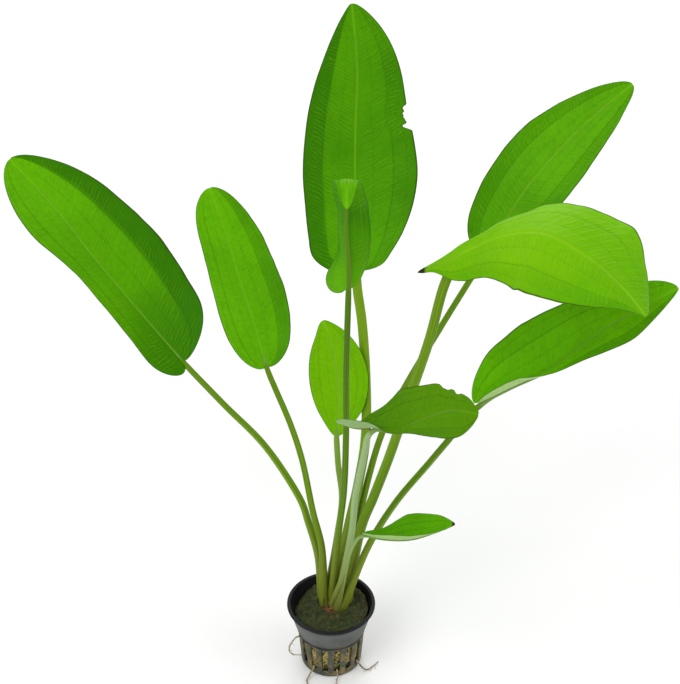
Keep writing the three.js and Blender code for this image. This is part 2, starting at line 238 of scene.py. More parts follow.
class Skin:
    """Collects rings and sheets of one piece, and makes them into one mesh object."""

    def __init__(self) -> None:
        """Starts with nothing collected."""
        self._points: list[np.ndarray] = []
        self._faces: list[tuple[int, ...]] = []
        self._slots: list[int] = []
        self._numbers: dict[str, list[np.ndarray]] = {}
        self._count = 0

    def add(self, points: np.ndarray, faces: list[tuple[int, ...]], slot: int, **numbers: np.ndarray) -> None:
        """Adds points, and faces that number them from 0.

        Args:
            points: One row for each point.
            faces: Tuples of point numbers.
            slot: The finish that the faces wear, counted from 0.
            **numbers: One value for each point, under the name that a finish reads.
        """
        self._points.append(points)
        self._faces.extend(tuple(int(i) + self._count for i in face) for face in faces)
        self._slots.extend([slot] * len(faces))
        for name in set(self._numbers) | set(numbers):
            kept = self._numbers.setdefault(name, [np.zeros(self._count)])
            kept.append(np.broadcast_to(numbers.get(name, 0.0), len(points)))
        self._count += len(points)

    def tube(self, path: np.ndarray, radii: np.ndarray, sides: int, slot: int, **wear: np.ndarray) -> None:
        """Adds a closed tube along a path.

        Args:
            path: One row for each ring's centre.
            radii: One radius for each ring, or one for each ring and side.
            sides: How many points a ring has.
            slot: The finish that the tube wears.
            **wear: One value for each ring, under the name that a finish reads.
        """
        rings = len(path)
        angles = np.arange(sides) / sides * 2 * math.pi
        across, over = carried_frames(path)
        reach = radii if radii.ndim == 2 else np.repeat(radii[:, None], sides, axis=1)
        points = (
            path[:, None]
            + across[:, None] * (reach * np.cos(angles))[..., None]
            + over[:, None] * (reach * np.sin(angles))[..., None]
        ).reshape(-1, 3)
        faces = band_faces(rings, sides)
        faces.append(tuple(reversed(range(sides))))
        faces.append(tuple((rings - 1) * sides + i for i in range(sides)))
        steps = np.linalg.norm(np.diff(path, axis=0), axis=1)
        reached = np.concatenate([[0.0], np.cumsum(steps)])
        numbers = {name: np.repeat(value, sides) for name, value in wear.items()}
        self.add(
            points,
            faces,
            slot,
            reached=np.repeat(reached, sides),
            turned_x=np.tile(np.cos(angles), rings),
            turned_y=np.tile(np.sin(angles), rings),
            **numbers,
        )

    def build(self, name: str, finishes: list[bpy.types.Material], smooth: bool = True) -> bpy.types.Object:
        """Makes the object, with one material slot for each finish.

        Args:
            name: The object's name.
            finishes: The materials that the slots wear, in order.
            smooth: Whether the faces are shaded smooth.

        Returns:
            The new object, linked to the scene.
        """
        mesh = bpy.data.meshes.new(name)
        mesh.from_pydata(np.concatenate(self._points).tolist(), [], self._faces)
        mesh.polygons.foreach_set("material_index", self._slots)
        mesh.polygons.foreach_set("use_smooth", [smooth] * len(self._faces))
        for key, values in self._numbers.items():
            made = mesh.attributes.new(key, "FLOAT", "POINT")
            made.data.foreach_set("value", np.concatenate(values).astype(np.float32))
        for finish in finishes:
            mesh.materials.append(finish)
        mesh.update()
        piece = bpy.data.objects.new(name, mesh)
        bpy.context.scene.collection.objects.link(piece)
        return piece


def carried_frames(path: np.ndarray) -> tuple[np.ndarray, np.ndarray]:
    """Two directions across a path, carried along it without a twist.

    Args:
        path: One row for each point of the path.

    Returns:
        For each point, a direction across the path and the one square to both.
    """
    ways = unit(np.gradient(path, axis=0))
    flat = np.array([0.0, 0.0, 1.0]) if abs(ways[0][2]) < 0.9 else np.array([1.0, 0.0, 0.0])
    across = np.empty_like(path)
    across[0] = unit(np.cross(flat, ways[0]))
    for i in range(1, len(path)):
        held = across[i - 1] - ways[i] * (across[i - 1] @ ways[i])
        across[i] = unit(held)
    return across, np.cross(ways, across)


def band_faces(rings: int, around: int) -> list[tuple[int, ...]]:
    """The faces between closed rings that are numbered one after the other.

    Args:
        rings: How many rings there are.
        around: How many points a ring has.

    Returns:
        Four point numbers for each face, ring by ring.
    """
    return [
        (r * around + i, r * around + j, (r + 1) * around + j, (r + 1) * around + i)
        for r in range(rings - 1)
        for i, j in ((i, (i + 1) % around) for i in range(around))
    ]


def pierced_faces(opened: np.ndarray, foot: bool) -> list[tuple[int, ...]]:
    """The faces of two sheets of rings, one behind the other, with the same openings cut through both.

    Args:
        opened: For each band between two rings and each step around, whether it is open.
        foot: Whether the first rings are joined, as the last ones are.

    Returns:
        The faces of both sheets, of the openings' edges and of the rims.
    """
    bands, count = opened.shape
    front = np.arange((bands + 1) * count).reshape(bands + 1, count)
    back = front + front.size
    faces = []
    for r in range(bands):
        for i in range(count):
            j = (i + 1) % count
            if opened[r, i]:
                continue
            faces.append((front[r, i], front[r, j], front[r + 1, j], front[r + 1, i]))
            faces.append((back[r, i], back[r + 1, i], back[r + 1, j], back[r, j]))
            if opened[r, i - 1]:
                faces.append((front[r, i], front[r + 1, i], back[r + 1, i], back[r, i]))
            if opened[r, j]:
                faces.append((front[r + 1, j], front[r, j], back[r, j], back[r + 1, j]))
            if r > 0 and opened[r - 1, i]:
                faces.append((front[r, j], front[r, i], back[r, i], back[r, j]))
            if r < bands - 1 and opened[r + 1, i]:
                faces.append((front[r + 1, i], front[r + 1, j], back[r + 1, j], back[r + 1, i]))
    for i in range(count):
        j = (i + 1) % count
        faces.append((front[-1, i], front[-1, j], back[-1, j], back[-1, i]))
        if foot:
            faces.append((front[0, j], front[0, i], back[0, i], back[0, j]))
    return faces


def around_axis(turns: np.ndarray, reach: np.ndarray, heights: np.ndarray) -> np.ndarray:
    """Level rings of points around the pot's axis.

    Args:
        turns: The angle of each point of a ring.
        reach: How far out the points are: one value for each ring, or for each ring and angle.
        heights: The height of each ring.

    Returns:
        One row of x, y and z for each ring and angle.
    """
    level = np.repeat(heights[:, None], len(turns), axis=1)
    return np.stack([reach * np.cos(turns), reach * np.sin(turns), level], axis=-1)


def place(piece: bpy.types.Object, slot: str, *nodes: str) -> bpy.types.Object:
    """Ties a piece to the part: its body, and the nodes it stands for.

    Args:
        piece: The object that was made.
        slot: The record's material slot, which is not used here.
        *nodes: The part's nodes that the piece stands for.

    Returns:
        The same object.
    """
    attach(piece, BODY)
    if nodes:
        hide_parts(*nodes)
    stands_for = ", ".join(nodes) or "nothing"
    log.info("%s: %d faces, stands for %s", piece.name, len(piece.data.polygons), stands_for)
    return piece


# ---- Finishes ----
Input = bpy.types.NodeSocket | float | Colour


class Recipe:
    """One material and the nodes that make its surface."""

    def __init__(self, name: str) -> None:
        """Starts a material that has only its shader.

        Args:
            name: The material's name.
        """
        self.material = bpy.data.materials.new(name)
        self.material.use_nodes = True
        self._tree = self.material.node_tree
        self.shader = self._tree.nodes["Principled BSDF"]

    def set(self, **constants: float | Colour) -> None:
        """Sets plain values on the shader's own sockets, named with _ for a space."""
        for name, value in constants.items():
            socket = self.shader.inputs[name.replace("_", " ").title().replace("Ior", "IOR")]
            socket.default_value = value

    def _feed(self, socket: bpy.types.NodeSocket, value: Input) -> None:
        """Links a socket, or sets its own value.

        Args:
            socket: The socket that is fed.
            value: A value or a socket.
        """
        if isinstance(value, bpy.types.NodeSocket):
            self._tree.links.new(value, socket)
        elif isinstance(value, tuple):
            socket.default_value = (*value, 1.0) if len(socket.default_value) == 4 else value
        else:
            socket.default_value = value

    def finish(self, name: str, value: Input) -> None:
        """Feeds one of the shader's sockets."""
        self._feed(self.shader.inputs[name], value)

    def number(self, name: str) -> bpy.types.NodeSocket:
        """A value that the mesh holds under this name."""
        node = self._tree.nodes.new("ShaderNodeAttribute")
        node.attribute_name = name
        return node.outputs["Fac"]

    def maths(self, kind: str, first: Input, second: Input = 0.0) -> bpy.types.NodeSocket:
        """One sum of two values.

        Args:
            kind: The name of the sum, as Blender's Math node has it.
            first: A value or a socket.
            second: A value or a socket.

        Returns:
            The result's socket.
        """
        node = self._tree.nodes.new("ShaderNodeMath")
        node.operation = kind
        self._feed(node.inputs[0], first)
        self._feed(node.inputs[1], second)
        return node.outputs[0]

    def times(self, first: Input, second: Input) -> bpy.types.NodeSocket:
        """The product of two values."""
        return self.maths("MULTIPLY", first, second)

    def plus(self, first: Input, second: Input) -> bpy.types.NodeSocket:
        """The sum of two values."""
        return self.maths("ADD", first, second)

    def climb(self, value: Input, low: float, high: float) -> bpy.types.NodeSocket:
        """A smooth climb from 0 at low to 1 at high, or down where low is the larger.

        Args:
            value: What is read.
            low: The value that gives 0.
            high: The value that gives 1.

        Returns:
            The climb's socket.
        """
        node = self._tree.nodes.new("ShaderNodeMapRange")
        node.interpolation_type = "SMOOTHSTEP"
        self._feed(node.inputs["Value"], value)
        swapped = low > high
        node.inputs["From Min"].default_value = high if swapped else low
        node.inputs["From Max"].default_value = low if swapped else high
        node.inputs["To Min"].default_value = 1.0 if swapped else 0.0
        node.inputs["To Max"].default_value = 0.0 if swapped else 1.0
        return node.outputs["Result"]

    def blend(self, share: Input, first: Input, second: Input) -> bpy.types.NodeSocket:
        """A colour between two, by share.

        Args:
            share: 0 for the first colour and 1 for the second.
            first: A colour or a socket.
            second: A colour or a socket.

        Returns:
            The colour's socket.
        """
        node = self._tree.nodes.new("ShaderNodeMix")
        node.data_type = "RGBA"
        self._feed(node.inputs[0], share)
        self._feed(node.inputs[6], first)
        self._feed(node.inputs[7], second)
        return node.outputs[2]

    def vector(self, x: Input, y: Input, z: Input) -> bpy.types.NodeSocket:
        """A place made of three values.

        Args:
            x: The first value.
            y: The second value.
            z: The third value.

        Returns:
            The place's socket.
        """
        node = self._tree.nodes.new("ShaderNodeCombineXYZ")
        for socket, value in zip(node.inputs, (x, y, z)):
            self._feed(socket, value)
        return node.outputs[0]

    def mottle(
        self,
        scale: float,
        detail: float = 3.0,
        where: bpy.types.NodeSocket | None = None,
        rough: float = 0.55,
    ) -> bpy.types.NodeSocket:
        """Natural unevenness.

        Args:
            scale: Blotches for each metre, or for each unit of where.
            detail: How many finer layers it has.
            where: The place it is read at; the piece's own space if left out.
            rough: How strong the finer layers are.

        Returns:
            A value from 0 to 1, mostly near 0.5.
        """
        node = self._tree.nodes.new("ShaderNodeTexNoise")
        node.inputs["Scale"].default_value = scale
        node.inputs["Detail"].default_value = detail
        node.inputs["Roughness"].default_value = rough
        if where is None:
            where = self._tree.nodes.new("ShaderNodeTexCoord").outputs["Object"]
        self._feed(node.inputs["Vector"], where)
        return node.outputs["Fac"]

    def relief(self, height: Input, depth: float, strength: float = 1.0) -> None:
        """Fine relief on top of what is already there.

        Args:
            height: From 0 to 1.
            depth: What a height of 1 stands for, in metres.
            strength: How much of it shows.
        """
        node = self._tree.nodes.new("ShaderNodeBump")
        node.inputs["Distance"].default_value = depth
        node.inputs["Strength"].default_value = strength
        self._feed(node.inputs["Height"], height)
        socket = self.shader.inputs["Normal"]
        if socket.is_linked:
            self._tree.links.new(socket.links[0].from_socket, node.inputs["Normal"])
        self._tree.links.new(node.outputs["Normal"], socket)


@dataclass(frozen=True)
class BladeFinish:
    """The leaf blade: quilted between fine cross veins, with pale ribs and a thin dark margin."""

    name: str
    light: Colour
    # the darker green: the leaf's own deeper tone, and what painted shade darkens the blade towards
    deep: Colour
    vein: Colour
    underside: Colour
    margin: Colour = (0.035, 0.075, 0.004)
    dry: Colour = (0.03, 0.026, 0.008)
    glow: float = 0.0005  # how far light spreads inside the blade
    vein_pitch: float = 0.0021

    def material(self) -> bpy.types.Material:
        """The blade's material.

        Returns:
            A material that reads across, share, along, upper, dry and bloom from the mesh, and how far the
            green is darkened, partly as painted shade.
        """
        recipe = Recipe(self.name)
        across = recipe.maths("ABSOLUTE", recipe.number("across"))
        share = recipe.maths("ABSOLUTE", recipe.number("share"))
        upper = recipe.number("upper")
        wander = recipe.times(recipe.mottle(120.0, 3.0), 2.6)
        run = recipe.maths("SUBTRACT", recipe.number("along"), recipe.times(across, VEIN_LEAN))
        turns = recipe.plus(recipe.maths("DIVIDE", run, self.vein_pitch), wander)
        wave = recipe.maths("COSINE", recipe.times(turns, 2 * math.pi))
        ridge = recipe.climb(wave, 0.1, 1.0)
        inside = recipe.times(recipe.climb(across, 0.0007, 0.003), recipe.climb(share, 0.97, 0.8))
        patchy = recipe.climb(recipe.mottle(75.0, 2.0), 0.3, 0.62)
        cross = recipe.times(recipe.times(ridge, inside), patchy)

        broad = recipe.climb(recipe.mottle(24.0, 4.0), 0.32, 0.68)
        # The green darkens by the mesh's own value, which is partly painted shade, and by broad random
        # blotches.
        deep_and_shade_share = recipe.plus(recipe.number("deep"), recipe.times(broad, 0.22))
        face = recipe.blend(recipe.maths("MINIMUM", deep_and_shade_share, 1.0), self.light, self.deep)
        specks = recipe.climb(recipe.mottle(420.0, 2.0), 0.4, 0.8)
        face = recipe.blend(recipe.times(specks, 0.25), face, self.deep)
        face = recipe.blend(recipe.times(cross, 0.2), face, self.vein)
        strands = self._side_veins(recipe, share)
        face = recipe.blend(recipe.times(strands, 0.5), face, self.deep)
        rib = recipe.climb(across, 0.0009, 0.0003)
        face = recipe.blend(recipe.times(rib, 0.38), face, self.vein)

        under = recipe.blend(recipe.number("bloom"), face, self.underside)
        under = recipe.blend(recipe.times(cross, 0.2), under, self.light)
        under = recipe.blend(recipe.times(strands, 0.4), under, self.light)
        under = recipe.blend(recipe.times(broad, 0.35), under, self.light)
        colour = recipe.blend(upper, under, face)
        uneven = recipe.times(recipe.mottle(300.0), 0.02)
        edge = recipe.climb(recipe.plus(share, uneven), 0.972, 0.998)
        colour = recipe.blend(recipe.times(edge, 0.8), colour, self.margin)
        withered = recipe.plus(recipe.number("dry"), recipe.times(recipe.mottle(350.0), 0.4))
        withered = recipe.climb(withered, 0.55, 0.85)
        colour = recipe.blend(withered, colour, self.dry)
        recipe.finish("Base Color", colour)
        gloss = recipe.plus(recipe.times(recipe.mottle(90.0, 3.0), 0.22), 0.3)
        recipe.finish("Roughness", recipe.plus(gloss, recipe.times(withered, 0.3)))
        recipe.relief(recipe.plus(cross, recipe.times(strands, -0.6)), 0.00022, 0.8)
        recipe.relief(recipe.mottle(1500.0, 2.0), 0.00004, 0.5)
        recipe.set(subsurface_weight=0.35, subsurface_radius=(0.45, 1.0, 0.12), subsurface_scale=self.glow)
        recipe.set(ior=1.4, specular_ior_level=0.05)
        return recipe.material

    def _side_veins(self, recipe: Recipe, share: bpy.types.NodeSocket) -> bpy.types.NodeSocket:
        """The veins that run lengthways beside the midrib.

        Args:
            recipe: The material being made.
            share: How far out a place is, from 0 at the rib to 1 at the margin.

        Returns:
            1 on a side vein and 0 between them.
        """
        total: Input = 0.0
        for at, strength in BLADE_VEINS:
            away = recipe.maths("ABSOLUTE", recipe.maths("SUBTRACT", share, at))
            line = recipe.times(recipe.climb(away, 0.022, 0.004), strength)
            total = recipe.maths("MAXIMUM", total, line)
        return total


@dataclass(frozen=True)
class StalkFinish:
    """The leaf stalk: green, striped lengthways, and pale where it sheathes the crown."""

    name: str = "stalk"
    green: Colour = (0.028, 0.11, 0.001)
    light: Colour = (0.19, 0.34, 0.012)
    pale: Colour = (0.34, 0.48, 0.22)
    base: Colour = (0.27, 0.36, 0.05)
    sheath: Colour = (0.12, 0.105, 0.006)

    def material(self) -> bpy.types.Material:
        """The stalk's material.

        Returns:
            The material, which reads reached, turned_x, turned_y, pale and bright from the mesh.
        """
        recipe = Recipe(self.name)
        reached = recipe.number("reached")
        grain = recipe.vector(
            recipe.number("turned_x"), recipe.number("turned_y"), recipe.times(reached, 2.5)
        )
        stripes = recipe.climb(recipe.mottle(3.2, 3.0, grain), 0.36, 0.62)
        fine = recipe.mottle(9.0, 2.0, grain)
        lower = recipe.times(recipe.climb(reached, 0.75, 0.1), 0.35)
        share = recipe.plus(recipe.plus(recipe.number("bright"), lower), -0.25)
        share = recipe.plus(share, recipe.times(stripes, 0.5))
        share = recipe.maths("MAXIMUM", recipe.maths("MINIMUM", share, 1.0), 0.0)
        colour = recipe.blend(share, self.green, self.light)
        colour = recipe.blend(recipe.times(recipe.climb(fine, 0.45, 0.75), 0.35), colour, self.green)
        colour = recipe.blend(recipe.number("pale"), colour, self.pale)
        low = recipe.climb(recipe.plus(reached, recipe.times(stripes, 0.02)), 0.09, 0.012)
        colour = recipe.blend(recipe.times(low, 0.75), colour, self.base)
        foot = recipe.climb(recipe.plus(reached, recipe.times(fine, 0.16)), 0.17, 0.04)
        colour = recipe.blend(recipe.times(foot, 0.8), colour, self.sheath)
        recipe.finish("Base Color", colour)
        recipe.finish("Roughness", recipe.plus(recipe.times(fine, 0.25), 0.24))
        recipe.relief(recipe.plus(stripes, recipe.times(fine, 0.5)), 0.00012, 0.7)
        recipe.set(subsurface_weight=0.3, subsurface_radius=(0.6, 1.0, 0.25), subsurface_scale=0.0008)
        recipe.set(ior=1.42, specular_ior_level=0.08)
        return recipe.material


@dataclass(frozen=True)
class PlasticFinish:
    """Thin black plastic of the net pot, with a grey sheen painted over its outside."""

    name: str = "pot_plastic"
    black: Colour = (0.012, 0.013, 0.014)
    # the grey that stands for the plastic's sheen, painted over the black
    film: Colour = (0.11, 0.118, 0.108)
    stain: Colour = (0.27, 0.19, 0.06)
    algae: Colour = (0.07, 0.085, 0.02)

    def material(self) -> bpy.types.Material:
        """The pot's material, which reads from the mesh where the sheen is painted and where it is stained
        low down.

        Returns:
            The material.
        """
        recipe = Recipe(self.name)
        cloud = recipe.climb(recipe.mottle(55.0, 4.0), 0.25, 0.7)
        streak = recipe.mottle(240.0, 3.0)
        # Painted sheen: grey laid unevenly over the black where the mesh asks for it.
        painted_sheen_share = recipe.times(recipe.number("film"), recipe.plus(recipe.times(cloud, 0.5), 0.5))
        colour = recipe.blend(painted_sheen_share, self.black, self.film)
        growth = recipe.blend(recipe.climb(recipe.mottle(150.0, 3.0), 0.42, 0.56), self.algae, self.stain)
        dirt = recipe.times(recipe.climb(streak, 0.4, 0.58), recipe.number("low"))
        colour = recipe.blend(recipe.times(dirt, 0.75), colour, growth)
        recipe.finish("Base Color", colour)
        rough = recipe.maths("SUBTRACT", 0.5, recipe.times(painted_sheen_share, 0.14))
        recipe.finish("Roughness", recipe.plus(rough, recipe.times(streak, 0.12)))
        recipe.relief(recipe.mottle(900.0, 2.0), 0.00003, 0.5)
        recipe.set(ior=1.5, specular_ior_level=0.14)
        return recipe.material


@dataclass(frozen=True)
class WoolFinish:
    """Wet mineral wool, brown-grey and grown over with moss and algae."""

    name: str = "wool"
    brown: Colour = (0.07, 0.055, 0.016)
    moss: Colour = (0.04, 0.075, 0.01)
    dark: Colour = (0.012, 0.018, 0.006)
    ochre: Colour = (0.24, 0.15, 0.05)

    def material(self) -> bpy.types.Material:
        """The wool's material.

        Returns:
            The material, which reads warm from the mesh.
        """
        recipe = Recipe(self.name)
        patches = recipe.climb(recipe.mottle(85.0, 4.0), 0.38, 0.6)
        damp = recipe.climb(recipe.mottle(170.0, 4.0), 0.4, 0.62)
        colour = recipe.blend(patches, self.brown, self.moss)
        colour = recipe.blend(recipe.times(damp, 0.75), colour, self.dark)
        warm = recipe.plus(recipe.number("warm"), recipe.times(recipe.mottle(420.0), 0.5))
        colour = recipe.blend(recipe.climb(warm, 0.75, 1.15), colour, self.ochre)
        recipe.finish("Base Color", colour)
        recipe.finish("Roughness", recipe.plus(recipe.times(damp, -0.25), 0.85))
        recipe.relief(recipe.mottle(700.0, 5.0, rough=0.7), 0.0009, 0.9)
        return recipe.material


@dataclass(frozen=True)
class StrandFinish:
    """Thin strands: roots, wool fibres, moss and dead sheaths, each with its own shade."""

    name: str
    dark: Colour
    light: Colour
    roughness: float = 0.6
    translucence: float = 0.0

    def material(self) -> bpy.types.Material:
        """The strands' material, which reads shade from the mesh.

        Returns:
            The material.
        """
        recipe = Recipe(self.name)
        uneven = recipe.times(recipe.mottle(300.0, 3.0), 0.6)
        shade = recipe.maths("SUBTRACT", recipe.plus(recipe.number("shade"), uneven), 0.3)
        recipe.finish("Base Color", recipe.blend(shade, self.dark, self.light))
        recipe.finish("Roughness", recipe.plus(recipe.times(uneven, 0.3), self.roughness - 0.1))
        recipe.relief(recipe.mottle(2200.0, 2.0), 0.00008, 0.6)
        recipe.set(subsurface_weight=self.translucence, subsurface_scale=0.0004)
        recipe.set(subsurface_radius=(1.0, 0.7, 0.4))
        return recipe.material


@dataclass(frozen=True)
class FloorFinish:
    """Plain pale floor."""

    name: str = "pale_floor"
    colour: Colour = (0.9, 0.9, 0.9)

    def material(self) -> bpy.types.Material:
        """The floor's material.

        Returns:
            The material.
        """
        recipe = Recipe(self.name)
        recipe.finish("Base Color", self.colour)
        recipe.finish("Roughness", 0.9)
        recipe.set(specular_ior_level=0.1)
        return recipe.material


WOOL_FIBRES = StrandFinish("wool_fibres", (0.018, 0.03, 0.006), (0.12, 0.14, 0.03), 0.8)
ROOTSTOCK = StrandFinish("rootstock", (0.055, 0.04, 0.008), (0.26, 0.1, 0.025), 0.7)
ROOT_SKIN = StrandFinish("root_skin", (0.1, 0.075, 0.025), (0.42, 0.36, 0.19), 0.5, 0.2)
BASKET_ROOT_SKIN = StrandFinish("basket_root_skin", (0.1, 0.09, 0.015), (0.55, 0.42, 0.14), 0.55, 0.15)

BLADES = {
    Tone.LEAF: BladeFinish(
        name="blade_full_green",
        light=(0.14, 0.48, 0.0005),
        deep=(0.036, 0.19, 0.0005),
        vein=(0.21, 0.50, 0.01),
        underside=(0.4, 0.58, 0.22),
    ),
    Tone.BRIGHT: BladeFinish(
        name="blade_fresh_green",
        light=(0.2, 0.5, 0.0005),
        deep=(0.08, 0.33, 0.001),
        vein=(0.28, 0.58, 0.015),
        underside=(0.3, 0.46, 0.14),
    ),
    Tone.OLIVE: BladeFinish(
        name="blade_olive_green",
        light=(0.105, 0.3, 0.001),
        deep=(0.05, 0.17, 0.002),
        vein=(0.16, 0.34, 0.01),
        underside=(0.36, 0.5, 0.25),
    ),
}


# ---- Leaves ----
@dataclass(frozen=True)
class Half:
    """One half of a blade, from its base to its tip."""

    widths: Sizes  # half widths that a half ellipse is scaled by
    rise: Sizes  # how steeply it climbs from the rib, in degrees
    bend: Sizes  # what it climbs more beyond its side vein, in degrees
    lobe: Point = (0, 0, 0)  # how far and which way its margin is carried back past the stalk


@dataclass(frozen=True)
class Bite:
    """A torn or eaten place in a margin."""

    side: Side
    at: float  # share of the rib
    length: float  # share of the rib
    depth: float
    ragged: float = 0.3  # how uneven its edge is


@dataclass(frozen=True)
class DryEnd:
    """A withered place on the blade."""

    at: float  # share of the rib
    reach: float  # share of the rib
    strength: float = 1.0


@dataclass(frozen=True)
class Leaf:
    """A leaf in one piece: the stalk, which runs on as the midrib, and the blade."""

    name: str
    node: str
    tone: Tone
    radii: tuple[float, float]  # the stalk at its base and at its neck
    stalk: tuple[Point, ...]
    rib: tuple[Point, ...]
    face: tuple[Point, Point]  # where the upper side looks, at the base and at the tip
    left: Half
    right: Half
    join: float = 0.0  # share of the rib where the stalk meets it
    bloom: float = 0.5  # how pale the underside is
    pallor: float = 0.0  # how pale the stalk is
    stalk_light: float = 0.3  # how much of the stalk is light green
    rib_pallor: float = 0.35  # how pale the midrib is under the blade
    depth: Sizes = (0.3, 0.3)  # how dark the green is, from the base to the tip: partly the leaf's own deeper green and partly painted shade
    painted_shade_strips: tuple[float, float] = (0.0, 0.0)  # how much painted shade darkens it beyond the side veins, left and right
    flutter: float = 0.0007  # how far the margin waves
    waves: float = 3.0  # waves along a margin
    bites: tuple[Bite, ...] = ()
    dry: tuple[DryEnd, ...] = ()
    seed: int = 1

    thickness: float = 0.00048
    margin_thickness: float = 0.00022
    row_step: float = 0.00065
    columns: int = 30
    quilt: float = 0.00009
    quilt_pitch: float = 0.0043
    vein_sink: float = 0.00022
    vein_width: float = 0.028  # share of the half width
    groove_depth: float = 0.00035
    groove_width: float = 0.0007
    midrib_drop: float = 0.00008  # how far the midrib's crest lies under the blade's middle
    sunk: float = 0.0045  # how far the stalk reaches down into the crown
    sides: int = 16
    stalk_rings: int = 90
    midrib_rings: int = 80
    back_rings: int = 24
    back_radius: float = 0.0007  # of the midrib's short run from the stalk back to the blade's base

    BLADE, STALK = 0, 1

    def build(self, finishes: list[bpy.types.Material]) -> bpy.types.Object:
        """Makes the leaf and ties it to its node.

        Args:
            finishes: The blade's finish and the stalk's finish.

        Returns:
            The leaf's object.
        """
        skin = Skin()
        self._add_blade(skin)
        self._add_stalk(skin)
        slot = {Tone.LEAF: "leaf", Tone.BRIGHT: "young_leaf", Tone.OLIVE: "olive_leaf"}[self.tone]
        return place(skin.build(self.name, finishes), slot, self.node)

    def _frames(self, rib: Curve, share: np.ndarray) -> tuple[np.ndarray, np.ndarray, np.ndarray]:
        """The rib's points, the right side and the upper side at shares of its length.

        Args:
            rib: The rib's curve.
            share: Where to read it, from the base to the tip.

        Returns:
            Three arrays with one row for each share.
        """
        face = np.asarray(self.face, float)
        looks = face[0] + (face[1] - face[0]) * share[:, None]
        tangent = rib.tangents(share)
        side = unit(np.cross(tangent, looks))
        return rib.at(share), side, np.cross(side, tangent)

    def _half(
        self, side: Side, share: np.ndarray, steps: np.ndarray, rng: np.random.Generator
    ) -> tuple[np.ndarray, ...]:
        """One half of every row.

        Args:
            side: Which half.
            share: Each row's share of the rib.
            steps: How far out each column is, from 0 to 1.
            rng: The leaf's own source of unevenness.

        Returns:
            For each row and column: the way across, the climb, the slope and the half width.
        """
        half = self.left if side is Side.LEFT else self.right
        angle = np.arccos(np.clip(1 - 2 * share, -1, 1))
        width = np.sin(angle) * np.maximum(eased(half.widths, angle / math.pi), 0.0005)
        width = width - self._bitten(side, share, rng)
        width = np.maximum(width, 0.0002)
        inner = np.radians(spread(half.rise, share))
        outer = inner + np.radians(spread(half.bend, share))
        turned = smoothstep(SIDE_VEIN - 0.16, SIDE_VEIN + 0.16, steps)
        slope = inner[:, None] + (outer - inner)[:, None] * turned
        gaps = np.diff(steps)
        middle = (slope[:, 1:] + slope[:, :-1]) / 2
        zero = np.zeros((len(share), 1))
        across = np.hstack([zero, np.cumsum(np.cos(middle) * gaps, axis=1)]) * width[:, None]
        climb = np.hstack([zero, np.cumsum(np.sin(middle) * gaps, axis=1)]) * width[:, None]
        return across, climb, slope, np.repeat(width[:, None], len(steps), axis=1)

    def _bitten(self, side: Side, share: np.ndarray, rng: np.random.Generator) -> np.ndarray:
        """How much the bites take off one margin.

        Args:
            side: Which margin.
            share: Each row's share of the rib.
            rng: The leaf's own source of unevenness.

        Returns:
            A depth for each row.
        """
        lost = np.zeros(len(share))
        for bite in self.bites:
            if bite.side is not side:
                continue
            away = np.abs(share - bite.at) / (bite.length / 2)
            phases = rng.uniform(0, 2 * math.pi, 2)
            torn = 0.5 + 0.3 * np.sin(away * 9 + phases[0]) + 0.2 * np.sin(away * 23 + phases[1])
            shape = np.clip(1 - away**4, 0, 1) ** 0.6
            lost = np.maximum(lost, bite.depth * shape * (1 - bite.ragged * torn))
        return lost

    def _sheet(self) -> dict[str, np.ndarray]:
        """The blade's middle sheet.

        Returns:
            Points and the numbers that the blade's finish reads, as rows by columns.
        """
        rng = np.random.default_rng(self.seed)
        rib = Curve(self.rib)
        rows = int(rib.length / self.row_step)
        even = (np.arange(rows) + 0.5) / rows
        share = even - 0.075 * np.sin(2 * math.pi * even)
        out = np.linspace(0, 1, self.columns) ** 1.25
        centre, side, normal = self._frames(rib, share)
        angle = np.arccos(1 - 2 * share)
        sweep = np.sin(math.pi * np.minimum(angle / (math.pi / 2), 1) ** SWEEP_POWER)
        points, across, shares = [], [], []
        for which in (Side.LEFT, Side.RIGHT):
            half = self.left if which is Side.LEFT else self.right
            reach, climb, slope, width = self._half(which, share, out, rng)
            lobe = np.asarray(half.lobe) * (sweep[:, None] * out)[..., None]
            lifted = climb + self._unevenness(share, out, width, rng)
            made = (
                centre[:, None]
                + side[:, None] * (which.value * reach)[..., None]
                + normal[:, None] * lifted[..., None]
                + lobe
            )
            made += self._quilting(which, share * rib.length, out, width, side, normal, slope)
            turn = slice(None, 0, -1) if which is Side.LEFT else slice(None)
            points.append(made[:, turn])
            across.append((which.value * width * out)[:, turn])
            shares.append(np.broadcast_to(which.value * out, width.shape)[:, turn])
        return {
            "points": np.concatenate(points, axis=1),
            "across": np.concatenate(across, axis=1),
            "share": np.concatenate(shares, axis=1),
            "along": np.repeat((share * rib.length)[:, None], 2 * self.columns - 1, axis=1),
            "reach": np.repeat(share[:, None], 2 * self.columns - 1, axis=1),
        }

    def _unevenness(
        self, share: np.ndarray, out: np.ndarray, width: np.ndarray, rng: np.random.Generator
    ) -> np.ndarray:
        """How far the blade stands off its plain section: waves that grow towards the margin.

        Args:
            share: Each row's share of the rib.
            out: How far out each column is.
            width: The half width of each row and column.
            rng: The leaf's own source of unevenness.

        Returns:
            A height for each row and column.
        """
        phases = rng.uniform(0, 2 * math.pi, 3)
        wave = (
            np.sin(2 * math.pi * self.waves * share + phases[0])
            + 0.5 * np.sin(2 * math.pi * self.waves * 2.3 * share + phases[1])
            + 0.15 * np.sin(2 * math.pi * self.waves * 4.7 * share + phases[2])
        )
        fade = np.sin(math.pi * np.clip(share, 0, 1)) ** 0.5
        return self.flutter * (wave * fade)[:, None] * out**2.5 * np.clip(width / 0.012, 0, 1)

